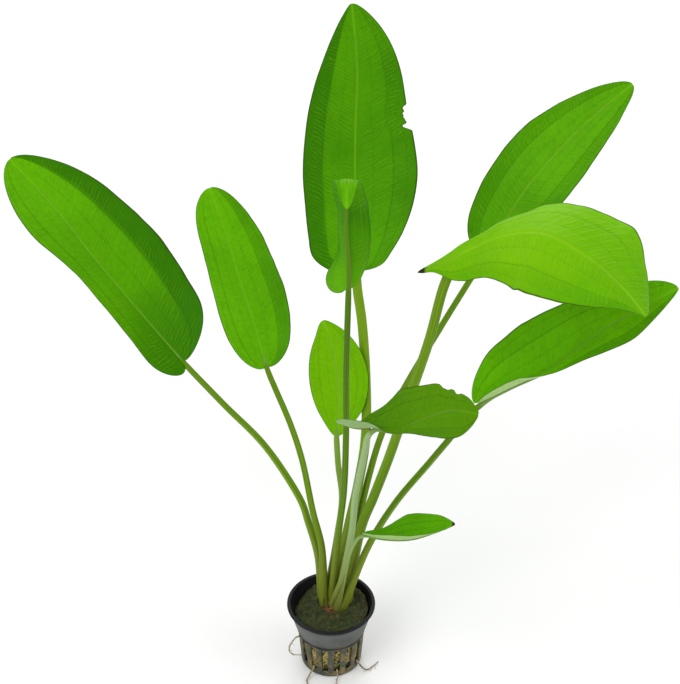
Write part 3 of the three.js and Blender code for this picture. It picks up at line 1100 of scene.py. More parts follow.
    def _quilting(
        self,
        which: Side,
        along: np.ndarray,
        out: np.ndarray,
        width: np.ndarray,
        side: np.ndarray,
        normal: np.ndarray,
        slope: np.ndarray,
    ) -> np.ndarray:
        """The blade's swelling between its veins, square to its surface.

        Args:
            which: The half.
            along: How far each row is along the rib.
            out: How far out each column is.
            width: The half width of each row and column.
            side: The right side at each row.
            normal: The upper side at each row.
            slope: How steeply each place climbs outwards.

        Returns:
            A shift for each row and column.
        """
        across = width * out
        turns = (along[:, None] - VEIN_LEAN * across) / self.quilt_pitch
        calm = smoothstep(0.0006, 0.004, across) * (1 - smoothstep(0.8, 0.97, out))
        swell = self.quilt * np.cos(2 * math.pi * turns) * calm
        for at, strength in BLADE_VEINS:
            line = np.exp(-(((out - at) / self.vein_width) ** 2))
            swell = swell - self.vein_sink * strength * line * np.clip(width / 0.01, 0, 1)
        upright = normal[:, None] * np.cos(slope)[..., None]
        return (upright - which.value * side[:, None] * np.sin(slope)[..., None]) * swell[..., None]

    def _add_blade(self, skin: Skin) -> None:
        """Adds the blade: an upper and a lower sheet, joined along the margin.

        Args:
            skin: What it is added to.
        """
        sheet = self._sheet()
        points = sheet["points"]
        rows, columns = points.shape[:2]
        square = unit(np.cross(np.gradient(points, axis=1), np.gradient(points, axis=0)))
        inner = 1 - np.abs(sheet["share"]) ** 3
        thick = self.margin_thickness + (self.thickness - self.margin_thickness) * inner
        groove = self.groove_depth * np.exp(-((sheet["across"] / self.groove_width) ** 2))
        groove = groove * (1 - smoothstep(0.85, 1.0, sheet["reach"]))
        top = points + square * (thick / 2 - groove)[..., None]
        bottom = points - square * (thick / 2)[..., None]
        number = np.arange(rows * columns).reshape(rows, columns)
        low = number + rows * columns
        faces = []
        for r in range(rows - 1):
            a, b = number[r], number[r + 1]
            c, d = low[r], low[r + 1]
            faces.extend(zip(a[:-1], a[1:], b[1:], b[:-1]))
            faces.extend(zip(c[:-1], d[:-1], d[1:], c[1:]))
            faces.append((a[0], b[0], d[0], c[0]))
            faces.append((b[-1], a[-1], c[-1], d[-1]))
        for r, flip in ((0, False), (rows - 1, True)):
            ends = zip(number[r][:-1], low[r][:-1], low[r][1:], number[r][1:])
            faces.extend(tuple(reversed(face)) if flip else face for face in ends)
        withered = np.zeros((rows, columns))
        for end in self.dry:
            near = 1 - np.abs(sheet["reach"] - end.at) / end.reach
            withered = np.maximum(withered, end.strength * np.clip(near, 0, 1))
        # Painted shade: darker along the blade as depth gives it, and over the strips beyond the side veins,
        # which turn away from the light.
        beyond = smoothstep(SIDE_VEIN - 0.06, SIDE_VEIN + 0.08, np.abs(sheet["share"]))
        painted_strip_shade = np.where(sheet["share"] < 0, *self.painted_shade_strips) * beyond
        deep = np.clip(spread(self.depth, sheet["reach"]) + painted_strip_shade, 0, 1)
        both = {key: np.tile(sheet[key].ravel(), 2) for key in ("across", "share", "along")}
        skin.add(
            np.concatenate([top.reshape(-1, 3), bottom.reshape(-1, 3)]),
            faces,
            self.BLADE,
            upper=np.repeat([1.0, 0.0], rows * columns),
            dry=np.tile(withered.ravel(), 2),
            bloom=np.full(2 * rows * columns, self.bloom),
            deep=np.tile(deep.ravel(), 2),
            **both,
        )

    def _add_stalk(self, skin: Skin) -> None:
        """Adds the stalk from inside the crown, and runs it on under the blade as the midrib.

        Args:
            skin: What it is added to.
        """
        rib = Curve(self.rib)
        start = np.asarray(self.stalk[0])
        inward = [start[k] * 0.75 + CROWN_CENTRE[k] * 0.25 for k in range(2)]
        foot = (*inward, start[2] - self.sunk)
        meets = rib.at(np.array([self.join]))[0]
        stalk = Curve((foot, *self.stalk, tuple(meets)))
        up = np.linspace(0, 0.975, self.stalk_rings)
        on = np.linspace(self.join + 0.045, 0.965, self.midrib_rings)
        centre, _, normal = self._frames(rib, on)
        midrib = self._midrib_radius(on, self.join)
        path = np.vstack([stalk.at(up), centre - normal * (midrib + self.midrib_drop)[:, None]])
        radii = np.concatenate([self._stalk_radius(up, stalk.length), midrib])
        near = slice(len(up) - 6, len(up) + 6)
        for _ in range(6):
            eased_path = (path[:-2] + 2 * path[1:-1] + path[2:]) / 4
            path[1:-1][near] = eased_path[near]
            radii[1:-1][near] = ((radii[:-2] + 2 * radii[1:-1] + radii[2:]) / 4)[near]
        angles = np.arange(self.sides) / self.sides * 2 * math.pi
        rng = np.random.default_rng(self.seed + 50)
        ribs = 0.05 * np.cos(3 * angles + rng.uniform(0, 6)) + 0.03 * np.cos(7 * angles + rng.uniform(0, 6))
        bare = np.where(np.arange(len(path)) < len(up), self.pallor, self.rib_pallor)
        light = np.where(np.arange(len(path)) < len(up), self.stalk_light, 0.25)
        skin.tube(path, radii[:, None] * (1 + ribs), self.sides, self.STALK, pale=bare, bright=light)
        if self.join > 0.05:
            back = np.linspace(self.join + 0.02, 0.03, self.back_rings)
            centre, _, normal = self._frames(rib, back)
            thin = self.back_radius * (0.4 + 0.6 * back / back[0])
            path = centre - normal * (thin + self.midrib_drop)[:, None]
            bare = np.full(self.back_rings, self.rib_pallor)
            light = np.full(self.back_rings, self.stalk_light)
            skin.tube(path, thin, 10, self.STALK, pale=bare, bright=light)

    def _stalk_radius(self, share: np.ndarray, length: float) -> np.ndarray:
        """The stalk's radius, which swells into a sheath over its lowest part.

        Args:
            share: Shares of the stalk's length.
            length: The stalk's length.

        Returns:
            One radius for each share.
        """
        thick, neck = self.radii
        plain = thick + (neck - thick) * np.sqrt(share)
        return plain * (1 + 0.5 * np.exp(-share * length / 0.018))

    def _midrib_radius(self, share: np.ndarray, join: float) -> np.ndarray:
        """The midrib's radius under the blade, from the stalk to the tip.

        Args:
            share: Shares of the rib's length.
            join: Where the stalk meets the rib.

        Returns:
            One radius for each share.
        """
        gone = np.clip((share - join) / (1 - join), 0, 1)
        return self.radii[1] * 0.62 * (1 - gone) ** 0.7 + 0.00022


# ---- Pot, wool, crown and roots ----
@dataclass(frozen=True)
class NetPot:
    """The slotted net pot: a basket under a plain flared collar with a rolled rim."""

    name: str = "slotted_pot"
    node: str = "net_pot"
    height: float = 0.042
    rim_radius: float = 0.025
    rim_drop: float = 0.0016
    rim_proud: float = 0.001
    waist_radius: float = 0.0186
    waist_height: float = 0.023
    foot_radius: float = 0.0168
    wall: float = 0.0011
    floor: float = 0.0012
    flare: float = 0.85  # how the collar's flare is shared out over its height
    slots: int = 16
    slot_width: float = 0.0038
    slot_low: float = 0.0042
    slot_high: float = 0.0215
    base_slots: int = 6
    base_slot_width: float = 0.003
    base_slot_from: float = 0.0095
    base_slot_to: float = 0.014
    bar_proud: float = 0.0003  # how far the bars stand out between the slots
    foot_band: float = 0.0026  # height of the plain band under the slots
    foot_proud: float = 0.0003
    hoop_low: float = 0.0226  # the hoop between the slots and the collar
    hoop_high: float = 0.0236
    hoop_proud: float = 0.0004
    collar_low: float = 0.0255
    step: float = 0.0004  # how much height a step in the wall takes up
    painted_sheen_from: tuple[float, float] = (0.0235, 0.0262)  # heights over which the painted grey sheen begins
    stain_to: tuple[float, float] = (0.016, 0.027)  # heights over which the stains end
    foot_chamfer: float = 0.0006
    foot_step: float = 0.0012  # how wide the chamfer is
    edge: float = 0.00014  # how much the moulded edges are rounded

    STEPS = 4  # steps around a slot, and around each half bar

    def radius(self, height: np.ndarray) -> np.ndarray:
        """The outside radius.

        Args:
            height: Heights above the floor.

        Returns:
            One radius for each height.
        """
        basket = self.foot_radius + (self.waist_radius - self.foot_radius) * height / self.waist_height
        up = np.clip((height - self.waist_height) / (self.height - self.waist_height), 0, 1)
        top = self.rim_radius - self.rim_proud
        collar = self.waist_radius + (top - self.waist_radius) * up**self.flare
        return np.where(height <= self.waist_height, basket, collar)

    def build(self, finish: bpy.types.Material) -> bpy.types.Object:
        """Makes the pot and ties it to its node.

        Args:
            finish: The plastic.

        Returns:
            The pot's object.
        """
        skin = Skin()
        self._add_wall(skin)
        self._add_floor(skin)
        piece = skin.build(self.name, [finish])
        rounding = piece.modifiers.new("moulded_edges", "BEVEL")
        rounding.width = self.edge
        rounding.segments = 2
        rounding.limit_method = "ANGLE"
        rounding.angle_limit = math.radians(50)
        return place(piece, "pot_plastic", self.node)

    def _turns(self) -> np.ndarray:
        """Angles around the pot, with one on each side of every slot."""
        pitch = 2 * math.pi / self.slots
        half = self.slot_width / 2 / self.waist_radius
        bar = (pitch - 2 * half) / 2
        ends = (0, bar, bar + 2 * half, pitch)
        one = np.concatenate([np.linspace(a, b, self.STEPS + 1)[:-1] for a, b in zip(ends, ends[1:])])
        return np.concatenate([one + i * pitch for i in range(self.slots)])

    def _add_wall(self, skin: Skin) -> None:
        """Adds the wall: an inner and an outer face, with the slots cut through both.

        Args:
            skin: What it is added to.
        """
        turns = self._turns()
        band = self.height - self.rim_drop
        heights = np.concatenate([
            [self.floor * 0.5, self.foot_band, self.foot_band + self.step],
            np.linspace(self.slot_low, self.slot_high, 7),
            [self.hoop_low - self.step, self.hoop_low, self.hoop_high, self.hoop_high + self.step],
            np.linspace(self.collar_low, band - 0.0006, 9),
            [band, band + 0.0003, band + 0.0008, band + 0.0013, self.height],
        ])
        count, rows = len(turns), len(heights)
        slotted = (heights[:-1] >= self.slot_low - 1e-6) & (heights[1:] <= self.slot_high + 1e-6)
        in_slot = np.arange(count) // self.STEPS % 3 == 1
        opened = slotted[:, None] & in_slot[None]
        outer = np.repeat(self.radius(heights)[:, None], count, axis=1)
        bars = ~in_slot & ~np.roll(in_slot, 1)
        basket = (heights > self.foot_band + self.step / 2) & (heights < self.hoop_low - self.step / 2)
        outer[np.ix_(basket, bars)] += self.bar_proud
        outer[(heights >= self.hoop_low) & (heights <= self.hoop_high)] += self.hoop_proud
        outer[heights <= self.foot_band] += self.foot_proud
        roll = np.clip((heights - band) / self.rim_drop, 0, 1)
        lip = self.rim_proud * np.sin(math.pi * (0.16 + 0.68 * roll)) ** 0.6
        outer = outer + ((heights >= band) * lip)[:, None]
        inner = np.repeat((self.radius(heights) - self.wall)[:, None], count, axis=1)
        # Painted sheen: grey over the collar's outside up to the rim's roll, and three quarters of it over
        # the basket.
        film = smoothstep(*self.painted_sheen_from, heights) * (1 - smoothstep(band - 0.0016, band - 0.0002, heights))
        film = np.maximum(film, 0.75 * (heights < self.hoop_high))
        low = 1 - smoothstep(*self.stain_to, heights)
        points = np.stack([around_axis(turns, reach, heights) for reach in (outer, inner)])
        skin.add(
            points.reshape(-1, 3),
            pierced_faces(opened, foot=True),
            0,
            film=np.concatenate([np.repeat(film, count), np.zeros(rows * count)]),
            low=np.tile(np.repeat(low, count), 2),
        )

    def _add_floor(self, skin: Skin) -> None:
        """Adds the floor plate with its slots, a little inside the wall's foot.

        Args:
            skin: What it is added to.
        """
        flat = self.foot_radius - self.foot_step
        radii = np.array([0.0, 0.003, self.base_slot_from, self.base_slot_to, flat, self.foot_radius])
        pitch = 2 * math.pi / self.base_slots
        half = self.base_slot_width / 2 / ((self.base_slot_from + self.base_slot_to) / 2)
        one = np.concatenate([[-half, 0.0], np.linspace(half, pitch - half, 9)[:-1]])
        turns = np.concatenate([one + i * pitch for i in range(self.base_slots)])
        count, rings = len(turns), len(radii)
        opened = np.zeros((rings - 1, count), bool)
        opened[2] = np.arange(count) % len(one) < 2
        under = np.array([0, 0, 0, 0, 0, self.foot_chamfer])
        over = np.full(rings, self.floor)
        points = np.stack([around_axis(turns, radii[:, None], heights) for heights in (under, over)])
        skin.add(points.reshape(-1, 3), pierced_faces(opened, foot=False), 0, low=np.ones(2 * rings * count))


@dataclass(frozen=True)
class WoolPlug:
    """The mineral wool: a plug that fills the pot, with a mossy uneven top and loose fibres."""

    pot: NetPot
    name: str = "mossy_wool"
    node: str = "mineral_wool"
    gap: float = 0.00035
    top: float = WOOL_TOP
    bump: float = 0.0011
    grain: float = 0.00035
    around: int = 168
    top_rings: int = 30
    tufts: int = 1500
    seed: int = 21

    def build(self, finishes: list[bpy.types.Material]) -> bpy.types.Object:
        """Makes the plug and ties it to its node.

        Args:
            finishes: The wool's finish and its fibres' finish.

        Returns:
            The plug's object.
        """
        skin = Skin()
        self._add_plug(skin)
        self._add_tufts(skin)
        return place(skin.build(self.name, finishes), "wool", self.node)

    def surface(self, x: np.ndarray, y: np.ndarray) -> np.ndarray:
        """The height of the plug's top.

        Args:
            x: Places across the pot.
            y: Places from front to back.

        Returns:
            One height for each place.
        """
        spots = np.stack([x, y, np.zeros_like(x)], axis=-1)
        away = np.hypot(x, y)
        bumps = self.bump * Ripple(self.seed, 0.012, 4).at(spots)
        bumps = bumps + self.grain * Ripple(self.seed + 1, 0.0025, 3).at(spots)
        sag = 0.0008 * smoothstep(0.012, 0.022, away) + 0.0036 * smoothstep(0.008, 0.019, -x)
        mound = 0.0016 * smoothstep(0.002, 0.012, away) * (1 - smoothstep(0.006, 0.014, -x))
        return self.top + 0.0002 + bumps - sag + mound

    def _add_plug(self, skin: Skin) -> None:
        """Adds the plug: its side follows the pot's inside, and its top is uneven.

        Args:
            skin: What it is added to.
        """
        angles = np.arange(self.around) / self.around * 2 * math.pi
        rim = float(self.pot.radius(np.array(self.top - 0.003))) - self.pot.wall - self.gap
        side = np.array([self.pot.floor + self.gap, 0.006, 0.012, 0.018, 0.023, 0.029, 0.032])
        radii = self.pot.radius(side) - self.pot.wall - self.gap
        middle = np.zeros((1, self.around, 3)) + [0, 0, side[0]]
        top = around_axis(angles, np.linspace(rim, 0.0004, self.top_rings)[:, None], np.zeros(self.top_rings))
        top[..., 2] = self.surface(top[..., 0], top[..., 1])
        points = np.concatenate([middle, around_axis(angles, radii[:, None], side), top])
        rough = 0.00025 * Ripple(self.seed + 2, 0.004, 3).at(points)
        points[1:8, :, :2] *= (1 + np.minimum(rough[1:8], 0) / 0.017)[..., None]
        faces = band_faces(len(points), self.around)
        faces.append(tuple((len(points) - 1) * self.around + i for i in range(self.around)))
        front = np.hypot(points[..., 0] - 0.0015, (points[..., 1] + 0.0075) * 1.3)
        warm = 0.8 * (1 - smoothstep(0.001, 0.0075, front)) * (points[..., 2] > 0.033)
        skin.add(points.reshape(-1, 3), faces, 0, warm=warm.ravel())

    def _add_tufts(self, skin: Skin) -> None:
        """Adds loose fibres and moss, which lie over the plug's top.

        Args:
            skin: What it is added to.
        """
        rng = np.random.default_rng(self.seed)
        reach = float(self.pot.radius(np.array(self.top - 0.003))) - self.pot.wall - 0.0011
        for _ in range(self.tufts):
            away, turn, heading = reach * math.sqrt(rng.uniform(0.08, 1)), *rng.uniform(0, 2 * math.pi, 2)
            length = rng.uniform(0.0012, 0.0042)
            steps = np.linspace(-0.5, 0.5, 5)
            bend = rng.normal(0, 0.35)
            ahead, aside = length * steps, bend * length * steps**2
            x = away * math.cos(turn) + ahead * math.cos(heading) - aside * math.sin(heading)
            y = away * math.sin(turn) + ahead * math.sin(heading) + aside * math.cos(heading)
            far = np.maximum(np.hypot(x, y) / reach, 1)
            x, y = x / far, y / far
            lift = rng.uniform(0.0001, 0.0007) * (1 - (2 * steps) ** 2) + 0.00005
            path = np.stack([x, y, self.surface(x, y) + lift], axis=-1)
            width = rng.uniform(0.00006, 0.00016)
            skin.tube(path, width * (1.1 - np.abs(steps)), 4, 1, shade=np.full(5, rng.uniform(0, 1)))


@dataclass(frozen=True)
class Crown:
    """The short rootstock that the leaves stand on, with the brown remains of old sheaths."""

    name: str = "rootstock_crown"
    node: str = "crown"
    around: int = 72
    scales: int = 22
    scale_thickness: float = 0.00024
    seed: int = 5

    def build(self, finish: bpy.types.Material) -> bpy.types.Object:
        """Makes the crown and ties it to its node.

        Args:
            finish: The rootstock's finish.

        Returns:
            The crown's object.
        """
        skin = Skin()
        self._add_stock(skin)
        self._add_scales(skin)
        return place(skin.build(self.name, [finish]), "rootstock", self.node)

    def _add_stock(self, skin: Skin) -> None:
        """Adds the rootstock itself: low, domed and knobbly.

        Args:
            skin: What it is added to.
        """
        angles = np.arange(self.around) / self.around * 2 * math.pi
        rise = np.linspace(0, 1, 16)
        radii = CROWN_RADIUS * 0.95 * np.cos(rise * math.pi / 2) ** 0.55 + 0.0002
        heights = CROWN_LOW - 0.0012 + (CROWN_HIGH - CROWN_LOW + 0.0012) * np.sin(rise * math.pi / 2) ** 1.2
        x, y = CROWN_CENTRE
        points = around_axis(angles, radii[:, None], heights) + [x, y, 0]
        knobs = Ripple(self.seed, 0.006, 3).at(points)
        points[..., :2] += (points[..., :2] - [x, y]) * (0.07 * knobs)[..., None]
        points[..., 2] += 0.0004 * knobs
        faces = band_faces(len(rise), self.around)
        faces.append(tuple((len(rise) - 1) * self.around + i for i in range(self.around)))
        faces.append(tuple(reversed(range(self.around))))
        skin.add(points.reshape(-1, 3), faces, 0, shade=0.5 + 0.35 * knobs.ravel())

    def _add_scales(self, skin: Skin) -> None:
        """Adds thin dead sheaths, which stand up and lean out round the crown.

        Args:
            skin: What it is added to.
        """
        rng = np.random.default_rng(self.seed)
        x, y = CROWN_CENTRE
        for i in range(self.scales):
            turn = (i + rng.uniform(-0.3, 0.3)) / self.scales * 2 * math.pi
            tall = rng.uniform(0.003, 0.0095)
            wide = rng.uniform(0.0007, 0.0017)
            away = CROWN_RADIUS * rng.uniform(0.72, 0.92)
            up = np.linspace(0, 1, 7)
            out = away + 0.0012 * up**2 * rng.uniform(-0.6, 1.2)
            turned = turn + rng.uniform(-0.25, 0.25) * up**2
            outward = np.stack([np.cos(turned), np.sin(turned), 0 * up], axis=-1)
            path = outward * out[:, None] + np.stack([x + 0 * up, y + 0 * up, CROWN_LOW + tall * up], axis=-1)
            along = np.stack([-np.sin(turned), np.cos(turned), 0 * up], axis=-1)
            half = wide * (1 - up**1.6)[:, None] + 0.00008
            thin = outward * self.scale_thickness / 2
            ring = [path - along * half, path + thin, path + along * half, path - thin]
            points = np.stack(ring, axis=1).reshape(-1, 3)
            faces = [tuple(reversed(face)) for face in band_faces(len(up), 4)]
            faces += [(0, 1, 2, 3), tuple(reversed(range(len(points) - 4, len(points))))]
            skin.add(points, faces, 0, shade=np.full(len(points), rng.uniform(0.1, 0.9)))


@dataclass(frozen=True)
class Root:
    """One loose root that has grown out through a slot."""

    name: str
    node: str
    path: tuple[Point, ...]
    radius: float = 0.00055
    seed: int = 1

    def build(self, finish: bpy.types.Material) -> bpy.types.Object:
        """Makes the root, with a few short rootlets, and ties it to its node.

        Args:
            finish: The roots' finish.

        Returns:
            The root's object.
        """
        rng = np.random.default_rng(self.seed)
        curve = Curve(self.path)
        share = np.linspace(0, 1, 70)
        path = curve.at(share)
        wander = Ripple(self.seed, 0.006, 3)
        path[:, 0] += 0.00035 * wander.at(path) * np.sin(math.pi * share)
        path[:, 2] = np.maximum(path[:, 2] + 0.0003 * wander.at(path + 1) * np.sin(math.pi * share), 0.0005)
        radii = self.radius * (1 - 0.5 * share) * (1 + 0.14 * wander.at(path * 3))
        skin = Skin()
        skin.tube(path, radii, 10, 0, shade=0.5 + 0.3 * wander.at(path * 2))
        for at in rng.uniform(0.25, 0.95, 6):
            start = curve.at(np.array([at]))[0]
            way = unit(rng.normal(size=3) * [1, 1, 0.4])
            steps = np.linspace(0, 1, 8)[:, None]
            twig = start + way * steps * rng.uniform(0.0012, 0.003)
            twig[:, 2] = np.maximum(twig[:, 2] - 0.001 * steps[:, 0] ** 2, 0.0002)
            skin.tube(twig, np.linspace(0.00014, 0.00005, 8), 5, 0, shade=np.full(8, 0.7))
        return place(skin.build(self.name, [finish]), "root", self.node)


@dataclass(frozen=True)
class RootMat:
    """Roots that wander over the wool inside the basket and show in its slots."""

    pot: NetPot
    name: str = "basket_roots"
    count: int = 210
    rings: int = 26
    seed: int = 33

    def build(self, finish: bpy.types.Material) -> bpy.types.Object:
        """Makes the mat.

        Args:
            finish: The roots' finish.

        Returns:
            The mat's object.
        """
        rng = np.random.default_rng(self.seed)
        skin = Skin()
        for _ in range(self.count):
            steps = np.linspace(0, 1, self.rings)
            start, drift = rng.uniform(0, 2 * math.pi), rng.normal(0, 0.55)
            top, bottom = rng.uniform(0.015, 0.024), rng.uniform(0.0022, 0.013)
            height = top + (bottom - top) * steps
            swing = rng.uniform(0.03, 0.12)
            turn = start + drift * steps + swing * np.sin(steps * rng.uniform(4, 11) + rng.uniform(0, 6))
            thick = rng.uniform(0.0002, 0.00062)
            inside = self.pot.radius(height) - self.pot.wall - thick * 0.9
            out = inside + rng.uniform(-0.0001, 0.0001)
            path = np.stack([out * np.cos(turn), out * np.sin(turn), height], axis=-1)
            skin.tube(path, thick * (1 - 0.45 * steps), 7, 0, shade=np.full(self.rings, rng.uniform(0, 1)))
        return place(skin.build(self.name, [finish]), "root")


@dataclass(frozen=True)
class Studio:
    """The pale floor, the soft lights and the camera."""

    floor_size: float = 6.0
    eye: Point = (0.005, -0.613, 0.641)
    down: float = 34.5  # how far the camera looks down, in degrees
    focal_share: float = 1500 / 680  # focal length over the picture's width
    sensor: float = 36.0  # millimetres, as Blender has it
    sky_strength: float = 0.72
    middle: Point = (0.0, 0.0, 0.18)  # what the lamps look at
    lamps: tuple[tuple[str, Point, float, float], ...] = (  # name, place, size and watts
        ("key", (-0.9, -0.9, 1.7), 1.3, 15.0),
        ("fill", (1.4, -0.3, 1.1), 1.2, 5.0),
        ("behind", (0.1, 1.4, 1.2), 1.2, 9.0),
    )

    def build(self) -> None:
        """Makes the stage."""
        floor = Skin()
        half = self.floor_size / 2
        corners = np.array([(-half, -half, 0), (half, -half, 0), (half, half, 0), (-half, half, 0)])
        floor.add(corners, [(0, 1, 2, 3)], 0)
        floor.build("floor", [FloorFinish().material()], smooth=False)
        world = bpy.data.worlds.new("soft_room")
        world.use_nodes = True
        sky = world.node_tree.nodes["Background"]
        sky.inputs["Color"].default_value = (1.0, 1.0, 1.0, 1.0)
        sky.inputs["Strength"].default_value = self.sky_strength
        bpy.context.scene.world = world
        bpy.context.scene.view_settings.view_transform = "Standard"
        for lamp in self.lamps:
            self._add_lamp(*lamp)
        lens = bpy.data.cameras.new("camera")
        lens.sensor_fit = "HORIZONTAL"
        lens.sensor_width = self.sensor
        lens.lens = self.sensor * self.focal_share
        lens.clip_start = 0.01
        camera = bpy.data.objects.new("camera", lens)
        camera.location = self.eye
        camera.rotation_euler = (math.radians(90 - self.down), 0.0, 0.0)
        bpy.context.scene.collection.objects.link(camera)
        bpy.context.scene.camera = camera

    def _add_lamp(self, name: str, where: Point, size: float, power: float) -> None:
        """Adds one large soft lamp that looks at the plant's middle.

        Args:
            name: The lamp's name.
            where: Its place.
            size: How wide it is.
            power: Its power in watts.
        """
        light = bpy.data.lights.new(name, "AREA")
        light.shape = "DISK"
        light.size = size
        light.energy = power
        lamp = bpy.data.objects.new(name, light)
        lamp.location = where
        aim = np.array(self.middle) - np.array(where)
        flat = math.hypot(aim[0], aim[1])
        lamp.rotation_euler = (math.atan2(flat, -aim[2]), 0.0, math.atan2(aim[1], aim[0]) - math.pi / 2)
        bpy.context.scene.collection.objects.link(lamp)


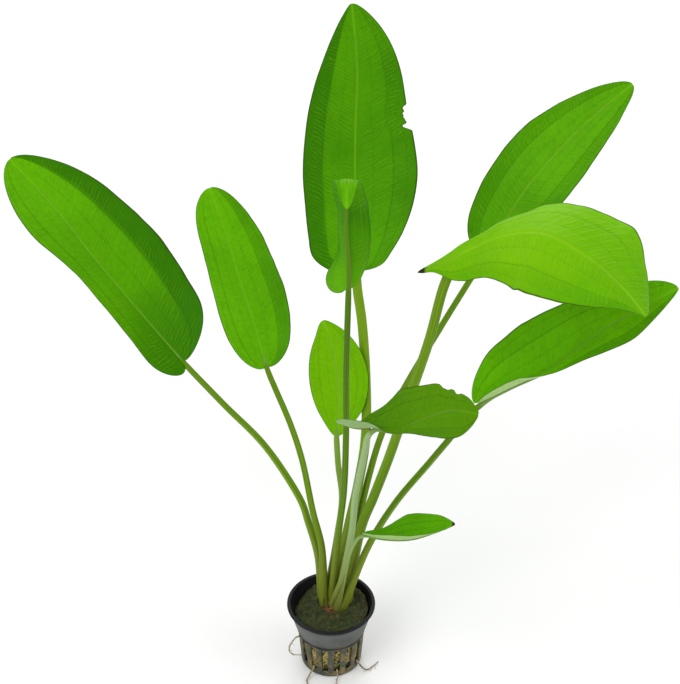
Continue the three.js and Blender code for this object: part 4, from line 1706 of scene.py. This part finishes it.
# ---- The plant ----
LEAVES = (
    Leaf(
        name="large_left_leaf",
        node="leaf_left_large",
        tone=Tone.LEAF,
        radii=(0.0024, 0.0016),
        stalk=(
            (-0.005, 0.006, 0.0442), (-0.007, 0.008, 0.069), (-0.012, 0.01, 0.091),
            (-0.018, 0.015, 0.108), (-0.036, 0.028, 0.132), (-0.058, 0.042, 0.149),
            (-0.08, 0.058, 0.165),
        ),
        rib=(
            (-0.081, 0.058, 0.167), (-0.103, 0.074, 0.186), (-0.128, 0.088, 0.213),
            (-0.15, 0.098, 0.241), (-0.172, 0.104, 0.267),
        ),
        face=((0.35, -0.75, 0.55), (0.35, -0.75, 0.55)),
        left=Half(
            widths=(0.022, 0.026, 0.017, 0.015, 0.024, 0.027, 0.024),
            rise=(10, 15, 10), bend=(6, 6, 4), lobe=(0.005, -0.004, -0.005),
        ),
        right=Half(
            widths=(0.03, 0.044, 0.038, 0.035, 0.031, 0.026, 0.022),
            rise=(6, 6, 4), bend=(20, 26, 10), lobe=(0.001, -0.001, -0.001),
        ),
        flutter=0.0008,
        seed=1,
        # Painted shade: dark at the base, and over the right strip beyond the side vein, which turns up away
        # from the light.
        depth=(0.8, 0.4, 0.2, 0.2),
        painted_shade_strips=(0.0, 0.75),
    ),
    Leaf(
        name="small_left_leaf",
        node="leaf_left_small",
        tone=Tone.LEAF,
        radii=(0.0022, 0.0015),
        stalk=(
            (-0.0042, 0.0012, 0.0442), (-0.005, 0.004, 0.078), (-0.01, 0.006, 0.105),
            (-0.015, 0.01, 0.135), (-0.021, 0.016, 0.155), (-0.029, 0.024, 0.173),
            (-0.034, 0.03, 0.183),
        ),
        rib=(
            (-0.034, 0.03, 0.184), (-0.041, 0.044, 0.204), (-0.048, 0.056, 0.221),
            (-0.054, 0.066, 0.239), (-0.063, 0.076, 0.265),
        ),
        face=((0.25, -0.8, 0.55), (0.25, -0.8, 0.55)),
        left=Half(
            widths=(0.02, 0.022, 0.02, 0.016, 0.017, 0.02, 0.02),
            rise=(8, 10, 6), bend=(6, 6, 4), lobe=(0.001, -0.001, -0.002),
        ),
        right=Half(
            widths=(0.02, 0.024, 0.023, 0.021, 0.019, 0.018, 0.016),
            rise=(6, 6, 4), bend=(20, 24, 10), lobe=(0.001, -0.001, -0.002),
        ),
        flutter=0.0007,
        seed=2,
        depth=(0.25, 0.1),
        painted_shade_strips=(0.0, 0.35),
    ),
    Leaf(
        name="tall_leaf",
        node="leaf_tall",
        tone=Tone.LEAF,
        radii=(0.0028, 0.0026),
        stalk=(
            (0.0038, 0.0094, 0.0442), (0.009, 0.012, 0.082), (0.015, 0.02, 0.111),
            (0.019, 0.029, 0.137), (0.019, 0.04, 0.167), (0.017, 0.052, 0.195),
            (0.014, 0.06, 0.215),
        ),
        rib=(
            (0.014, 0.061, 0.224), (0.013, 0.082, 0.253), (0.013, 0.1, 0.286),
            (0.014, 0.112, 0.316), (0.011, 0.118, 0.349),
        ),
        face=((0, -0.9, 0.45), (0, -0.9, 0.45)),
        left=Half(
            widths=(
                0.04, 0.046, 0.045, 0.036, 0.031, 0.029, 0.027,
                0.0253, 0.0236, 0.0205, 0.016, 0.011, 0.008,
            ),
            rise=(4, 4, 4), bend=(14, 16, 8), lobe=(0, -0.002, -0.003),
        ),
        right=Half(
            widths=(
                0.034, 0.042, 0.0362, 0.0356, 0.0355, 0.0343, 0.031,
                0.0275, 0.0262, 0.0248, 0.0224, 0.0188, 0.014,
            ),
            rise=(4, 4, 4), bend=(6, 6, 4), lobe=(0, -0.001, -0.001),
        ),
        bites=(
            Bite(Side.RIGHT, at=0.59, length=0.085, depth=0.0034, ragged=0.5),
            Bite(Side.RIGHT, at=0.548, length=0.022, depth=0.0046, ragged=0.2),
        ),
        flutter=0.0006,
        seed=3,
        depth=(0.45, 0.65, 0.5),
        painted_shade_strips=(0.5, 0.1),
        stalk_light=0.75,
    ),
    Leaf(
        name="curled_leaf",
        node="leaf_curled",
        tone=Tone.LEAF,
        radii=(0.0022, 0.0015),
        stalk=(
            (0.0005, 0.002, 0.0442), (0.004, -0.002, 0.094), (0.007, -0.005, 0.128),
            (0.008, -0.009, 0.167), (0.008, -0.012, 0.211), (0.009, -0.018, 0.261),
        ),
        rib=(
            (0.009, -0.018, 0.263), (0.009, -0.021, 0.28), (0.008, -0.024, 0.297),
            (0.008, -0.026, 0.311), (0.008, -0.029, 0.322), (0.008, -0.034, 0.3295),
            (0.008, -0.041, 0.329), (0.008, -0.046, 0.321),
        ),
        face=((0, 0.8, 0.6), (0, -0.1, 1)),
        left=Half(
            widths=(0.012, 0.013, 0.0125, 0.011, 0.007, 0.0075, 0.008),
            rise=(20, 20, 20, -5, -50), bend=(5, 10, 10, 10, 10), lobe=(0, 0.001, -0.002),
        ),
        right=Half(
            widths=(0.024, 0.019, 0.008, 0.0065, 0.007, 0.0075, 0.008),
            rise=(10, 50, 50, -5, -50), bend=(10, 10, 10, 10, 10), lobe=(-0.002, 0.004, -0.008),
        ),
        bloom=0.0,
        flutter=0.0005,
        seed=4,
        # Painted shade deepest at the middle of the blade; the curled tip is left light, where light from
        # above falls on it.
        depth=(0.1, 0.7, 1.0, 0.5, 0.0),
        painted_shade_strips=(0.0, 0.2),
        rib_pallor=0.0,
        stalk_light=0.1,
    ),
    Leaf(
        name="small_back_leaf",
        node="leaf_back_small",
        tone=Tone.BRIGHT,
        radii=(0.0019, 0.0016),
        stalk=(
            (-0.0012, 0.011, 0.0442), (0.003, 0.014, 0.076), (0.006, 0.018, 0.102),
            (0.004, 0.022, 0.123), (0.003, 0.026, 0.14),
        ),
        rib=(
            (0.003, 0.026, 0.14), (0.004, 0.034, 0.158), (0.003, 0.04, 0.174), (0, 0.044, 0.191),
            (-0.004, 0.046, 0.202),
        ),
        face=((0, -0.9, 0.45), (0, -0.9, 0.45)),
        left=Half(
            widths=(0.008, 0.01, 0.014, 0.015, 0.014, 0.011, 0.008),
            rise=(4, 4, 4), bend=(4, 4, 4),
        ),
        right=Half(
            widths=(0.01, 0.012, 0.016, 0.017, 0.015, 0.01, 0.007),
            rise=(4, 4, 4), bend=(4, 4, 4),
        ),
        flutter=0.0005,
        seed=5,
        depth=(0.1, 0.1),
        painted_shade_strips=(0.0, 0.1),
        pallor=0.15,
        stalk_light=0.9,
    ),
    Leaf(
        name="upper_right_leaf",
        node="leaf_upper_right",
        tone=Tone.LEAF,
        radii=(0.0021, 0.0016),
        stalk=(
            (0.009, 0.0078, 0.0442), (0.015, 0.015, 0.083), (0.018, 0.02, 0.102),
            (0.027, 0.03, 0.136), (0.039, 0.038, 0.162), (0.057, 0.048, 0.193),
            (0.074, 0.056, 0.222),
        ),
        rib=(
            (0.083, 0.06, 0.237), (0.101, 0.072, 0.266), (0.123, 0.082, 0.29),
            (0.141, 0.088, 0.306), (0.154, 0.09, 0.317),
        ),
        face=((-0.3, -0.75, 0.55), (-0.3, -0.75, 0.55)),
        left=Half(
            widths=(0.026, 0.028, 0.024, 0.022, 0.018, 0.014, 0.012),
            rise=(4, 4, 4), bend=(8, 10, 6), lobe=(-0.003, -0.002, -0.005),
        ),
        right=Half(
            widths=(0.014, 0.017, 0.021, 0.02, 0.017, 0.014, 0.012),
            rise=(4, 4, 4), bend=(6, 8, 4), lobe=(-0.001, -0.001, -0.002),
        ),
        flutter=0.0007,
        seed=6,
        depth=(0.4, 0.2),
        painted_shade_strips=(0.2, 0.2),
    ),
    Leaf(
        name="arching_leaf",
        node="leaf_arching",
        tone=Tone.BRIGHT,
        radii=(0.0029, 0.0024),
        stalk=(
            (0.0085, 0.003, 0.0442), (0.016, 0.004, 0.092), (0.023, 0.002, 0.118),
            (0.031, -0.002, 0.15), (0.04, -0.008, 0.192), (0.048, -0.014, 0.23),
            (0.053, -0.019, 0.262),
        ),
        rib=(
            (0.041, -0.017, 0.271), (0.051, -0.021, 0.278), (0.065, -0.027, 0.29),
            (0.078, -0.036, 0.302), (0.094, -0.048, 0.31), (0.112, -0.062, 0.306),
            (0.125, -0.074, 0.299), (0.135, -0.082, 0.289),
        ),
        face=((-0.5, -0.3, 0.8), (0.4, -0.3, 0.85)),
        join=0.17,
        left=Half(
            widths=(
                0.003, 0.004, 0.006, 0.008, 0.01, 0.0165, 0.024,
                0.029, 0.0355, 0.0315, 0.031, 0.0295, 0.026,
            ),
            rise=(-10, -10, -10, 2, -8), bend=(-10, -10, -10, -6, -10),
        ),
        right=Half(
            widths=(
                0.004, 0.005, 0.006, 0.016, 0.018, 0.022, 0.028,
                0.031, 0.031, 0.027, 0.015, 0.008, 0.005,
            ),
            rise=(-10, -10, -10), bend=(-10, -20, -10),
        ),
        dry=(DryEnd(at=0.0, reach=0.06, strength=1.2),),
        flutter=0.0007,
        seed=7,
        depth=(0.35, 0.15, 0.6),
        painted_shade_strips=(0.0, 0.2),
        stalk_light=0.55,
    ),
    Leaf(
        name="lower_right_leaf",
        node="leaf_lower_right",
        tone=Tone.LEAF,
        radii=(0.0021, 0.0016),
        stalk=(
            (0.0076, -0.0022, 0.0442), (0.02, -0.002, 0.085), (0.034, -0.006, 0.12),
            (0.051, -0.01, 0.151), (0.063, -0.013, 0.173), (0.073, -0.016, 0.192),
        ),
        rib=(
            (0.074, -0.016, 0.194), (0.089, -0.019, 0.206), (0.108, -0.022, 0.22),
            (0.127, -0.024, 0.241), (0.145, -0.022, 0.253), (0.164, -0.018, 0.263),
        ),
        face=((-0.3, -0.7, 0.6), (-0.3, -0.6, 0.6)),
        left=Half(
            widths=(
                0.012, 0.02, 0.025, 0.028, 0.028, 0.027, 0.024,
                0.02, 0.017, 0.0165, 0.0165, 0.015, 0.012,
            ),
            rise=(4, 4, 4), bend=(6, 8, 6), lobe=(-0.003, 0, -0.003),
        ),
        right=Half(
            widths=(0.01, 0.01, 0.012, 0.013, 0.013, 0.011, 0.01, 0.013, 0.014, 0.0115, 0.009, 0.007, 0.006),
            rise=(95, 85, 40, 10, 0), bend=(20, 20, 15, 8, 5),
        ),
        bloom=1.0,
        flutter=0.0006,
        seed=8,
        depth=(0.05, 0.1),
        painted_shade_strips=(0.1, 0.3),
    ),
    Leaf(
        name="young_right_leaf",
        node="leaf_young_right",
        tone=Tone.OLIVE,
        radii=(0.0021, 0.0016),
        stalk=(
            (0.0036, -0.0026, 0.0442), (0.011, -0.01, 0.101), (0.013, -0.018, 0.135),
            (0.016, -0.028, 0.164), (0.018, -0.037, 0.186),
        ),
        rib=(
            (0.003, -0.033, 0.195), (0.012, -0.036, 0.194), (0.021, -0.04, 0.197),
            (0.032, -0.045, 0.2), (0.043, -0.052, 0.211), (0.056, -0.058, 0.221),
            (0.069, -0.062, 0.222),
        ),
        face=((-0.3, -0.4, 0.8), (0, -0.4, 0.8)),
        join=0.2,
        left=Half(
            widths=(
                0.003, 0.003, 0.003, 0.0045, 0.01, 0.019, 0.0185,
                0.0175, 0.0173, 0.0135, 0.013, 0.01, 0.008,
            ),
            rise=(10, 10, 8, 4, 4), bend=(6, 8, 4),
        ),
        right=Half(
            widths=(
                0.012, 0.013, 0.013, 0.012, 0.01, 0.009, 0.007,
                0.0106, 0.0162, 0.0229, 0.027, 0.024, 0.018,
            ),
            rise=(100, 80, 30, 10, 4), bend=(10, 10, 4),
        ),
        bites=(
            Bite(Side.LEFT, at=0.8, length=0.05, depth=0.0016),
            Bite(Side.LEFT, at=0.86, length=0.03, depth=0.0012),
        ),
        bloom=1.0,
        flutter=0.0004,
        seed=9,
        depth=(0.3, 0.1),
        painted_shade_strips=(0.0, 0.2),
        pallor=0.85,
    ),
    Leaf(
        name="young_low_leaf",
        node="leaf_young_low",
        tone=Tone.LEAF,
        radii=(0.0012, 0.0008),
        stalk=(
            (0.0004, -0.0029, 0.0442), (0.007, -0.012, 0.076), (0.011, -0.016, 0.096),
            (0.015, -0.018, 0.107),
        ),
        rib=(
            (0.017, -0.018, 0.109), (0.028, -0.026, 0.113), (0.041, -0.033, 0.119),
            (0.053, -0.038, 0.128), (0.063, -0.042, 0.137),
        ),
        face=((-0.2, -0.3, 0.9), (-0.2, -0.3, 0.9)),
        left=Half(
            widths=(
                0.005, 0.006, 0.006, 0.0065, 0.009, 0.0125, 0.0138,
                0.0132, 0.0118, 0.0111, 0.0089, 0.0065, 0.005,
            ),
            rise=(10, 10, 10), bend=(6, 6, 6),
        ),
        right=Half(
            widths=(0.008, 0.008, 0.009, 0.009, 0.009, 0.008, 0.006),
            rise=(70, 70, 40), bend=(10, 10, 10),
        ),
        dry=(DryEnd(at=1.0, reach=0.05),),
        bloom=1.0,
        flutter=0.0003,
        seed=10,
        depth=(0.5, 0.2),
        pallor=0.6,
    ),
)


ROOTS = (
    Root(
        name="looped_left_root",
        node="root_left_loop",
        path=(
            (-0.0179, -0.0036, 0.019), (-0.0205, -0.005, 0.0186), (-0.024, -0.007, 0.014),
            (-0.0225, -0.0085, 0.0095), (-0.0166, -0.0082, 0.0084),
        ),
        radius=0.00045,
        seed=3,
    ),
    Root(
        name="hooked_left_root",
        node="root_left_hook",
        path=(
            (-0.0095, -0.0142, 0.0065), (-0.0115, -0.0172, 0.0034), (-0.0135, -0.0195, 0.0013),
            (-0.0135, -0.024, 0.0009), (-0.012, -0.029, 0.0008),
        ),
        seed=4,
    ),
    Root(
        name="long_right_root",
        node="root_right",
        path=(
            (0.0141, -0.0094, 0.006), (0.017, -0.0115, 0.0028), (0.02, -0.0125, 0.0011),
            (0.024, -0.0095, 0.0009), (0.027, -0.006, 0.0009),
        ),
        seed=5,
    ),
    Root(
        name="short_front_root",
        node="root_front",
        path=(
            (0.0033, -0.0167, 0.006), (0.0036, -0.0193, 0.0026), (0.003, -0.022, 0.001),
            (0.004, -0.025, 0.0008),
        ),
        radius=0.00045,
        seed=6,
    ),
)


def plain(bounds: tuple) -> list[list[float]]:
    """A box as plain lists of numbers."""
    return [[float(v) for v in corner] for corner in bounds]


def main() -> None:
    """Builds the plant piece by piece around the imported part."""
    logging.basicConfig(level=logging.INFO, format="%(name)s: %(message)s")
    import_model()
    Studio().build()
    pot = NetPot()
    pot.build(PlasticFinish().material())
    WoolPlug(pot).build([WoolFinish().material(), WOOL_FIBRES.material()])
    Crown().build(ROOTSTOCK.material())
    root_skin = ROOT_SKIN.material()
    for root in ROOTS:
        root.build(root_skin)
    RootMat(pot).build(BASKET_ROOT_SKIN.material())
    stalk = StalkFinish().material()
    blades = {tone: finish.material() for tone, finish in BLADES.items()}
    for leaf in LEAVES:
        leaf.build([blades[leaf.tone], stalk])


if __name__ == "__main__":
    main()
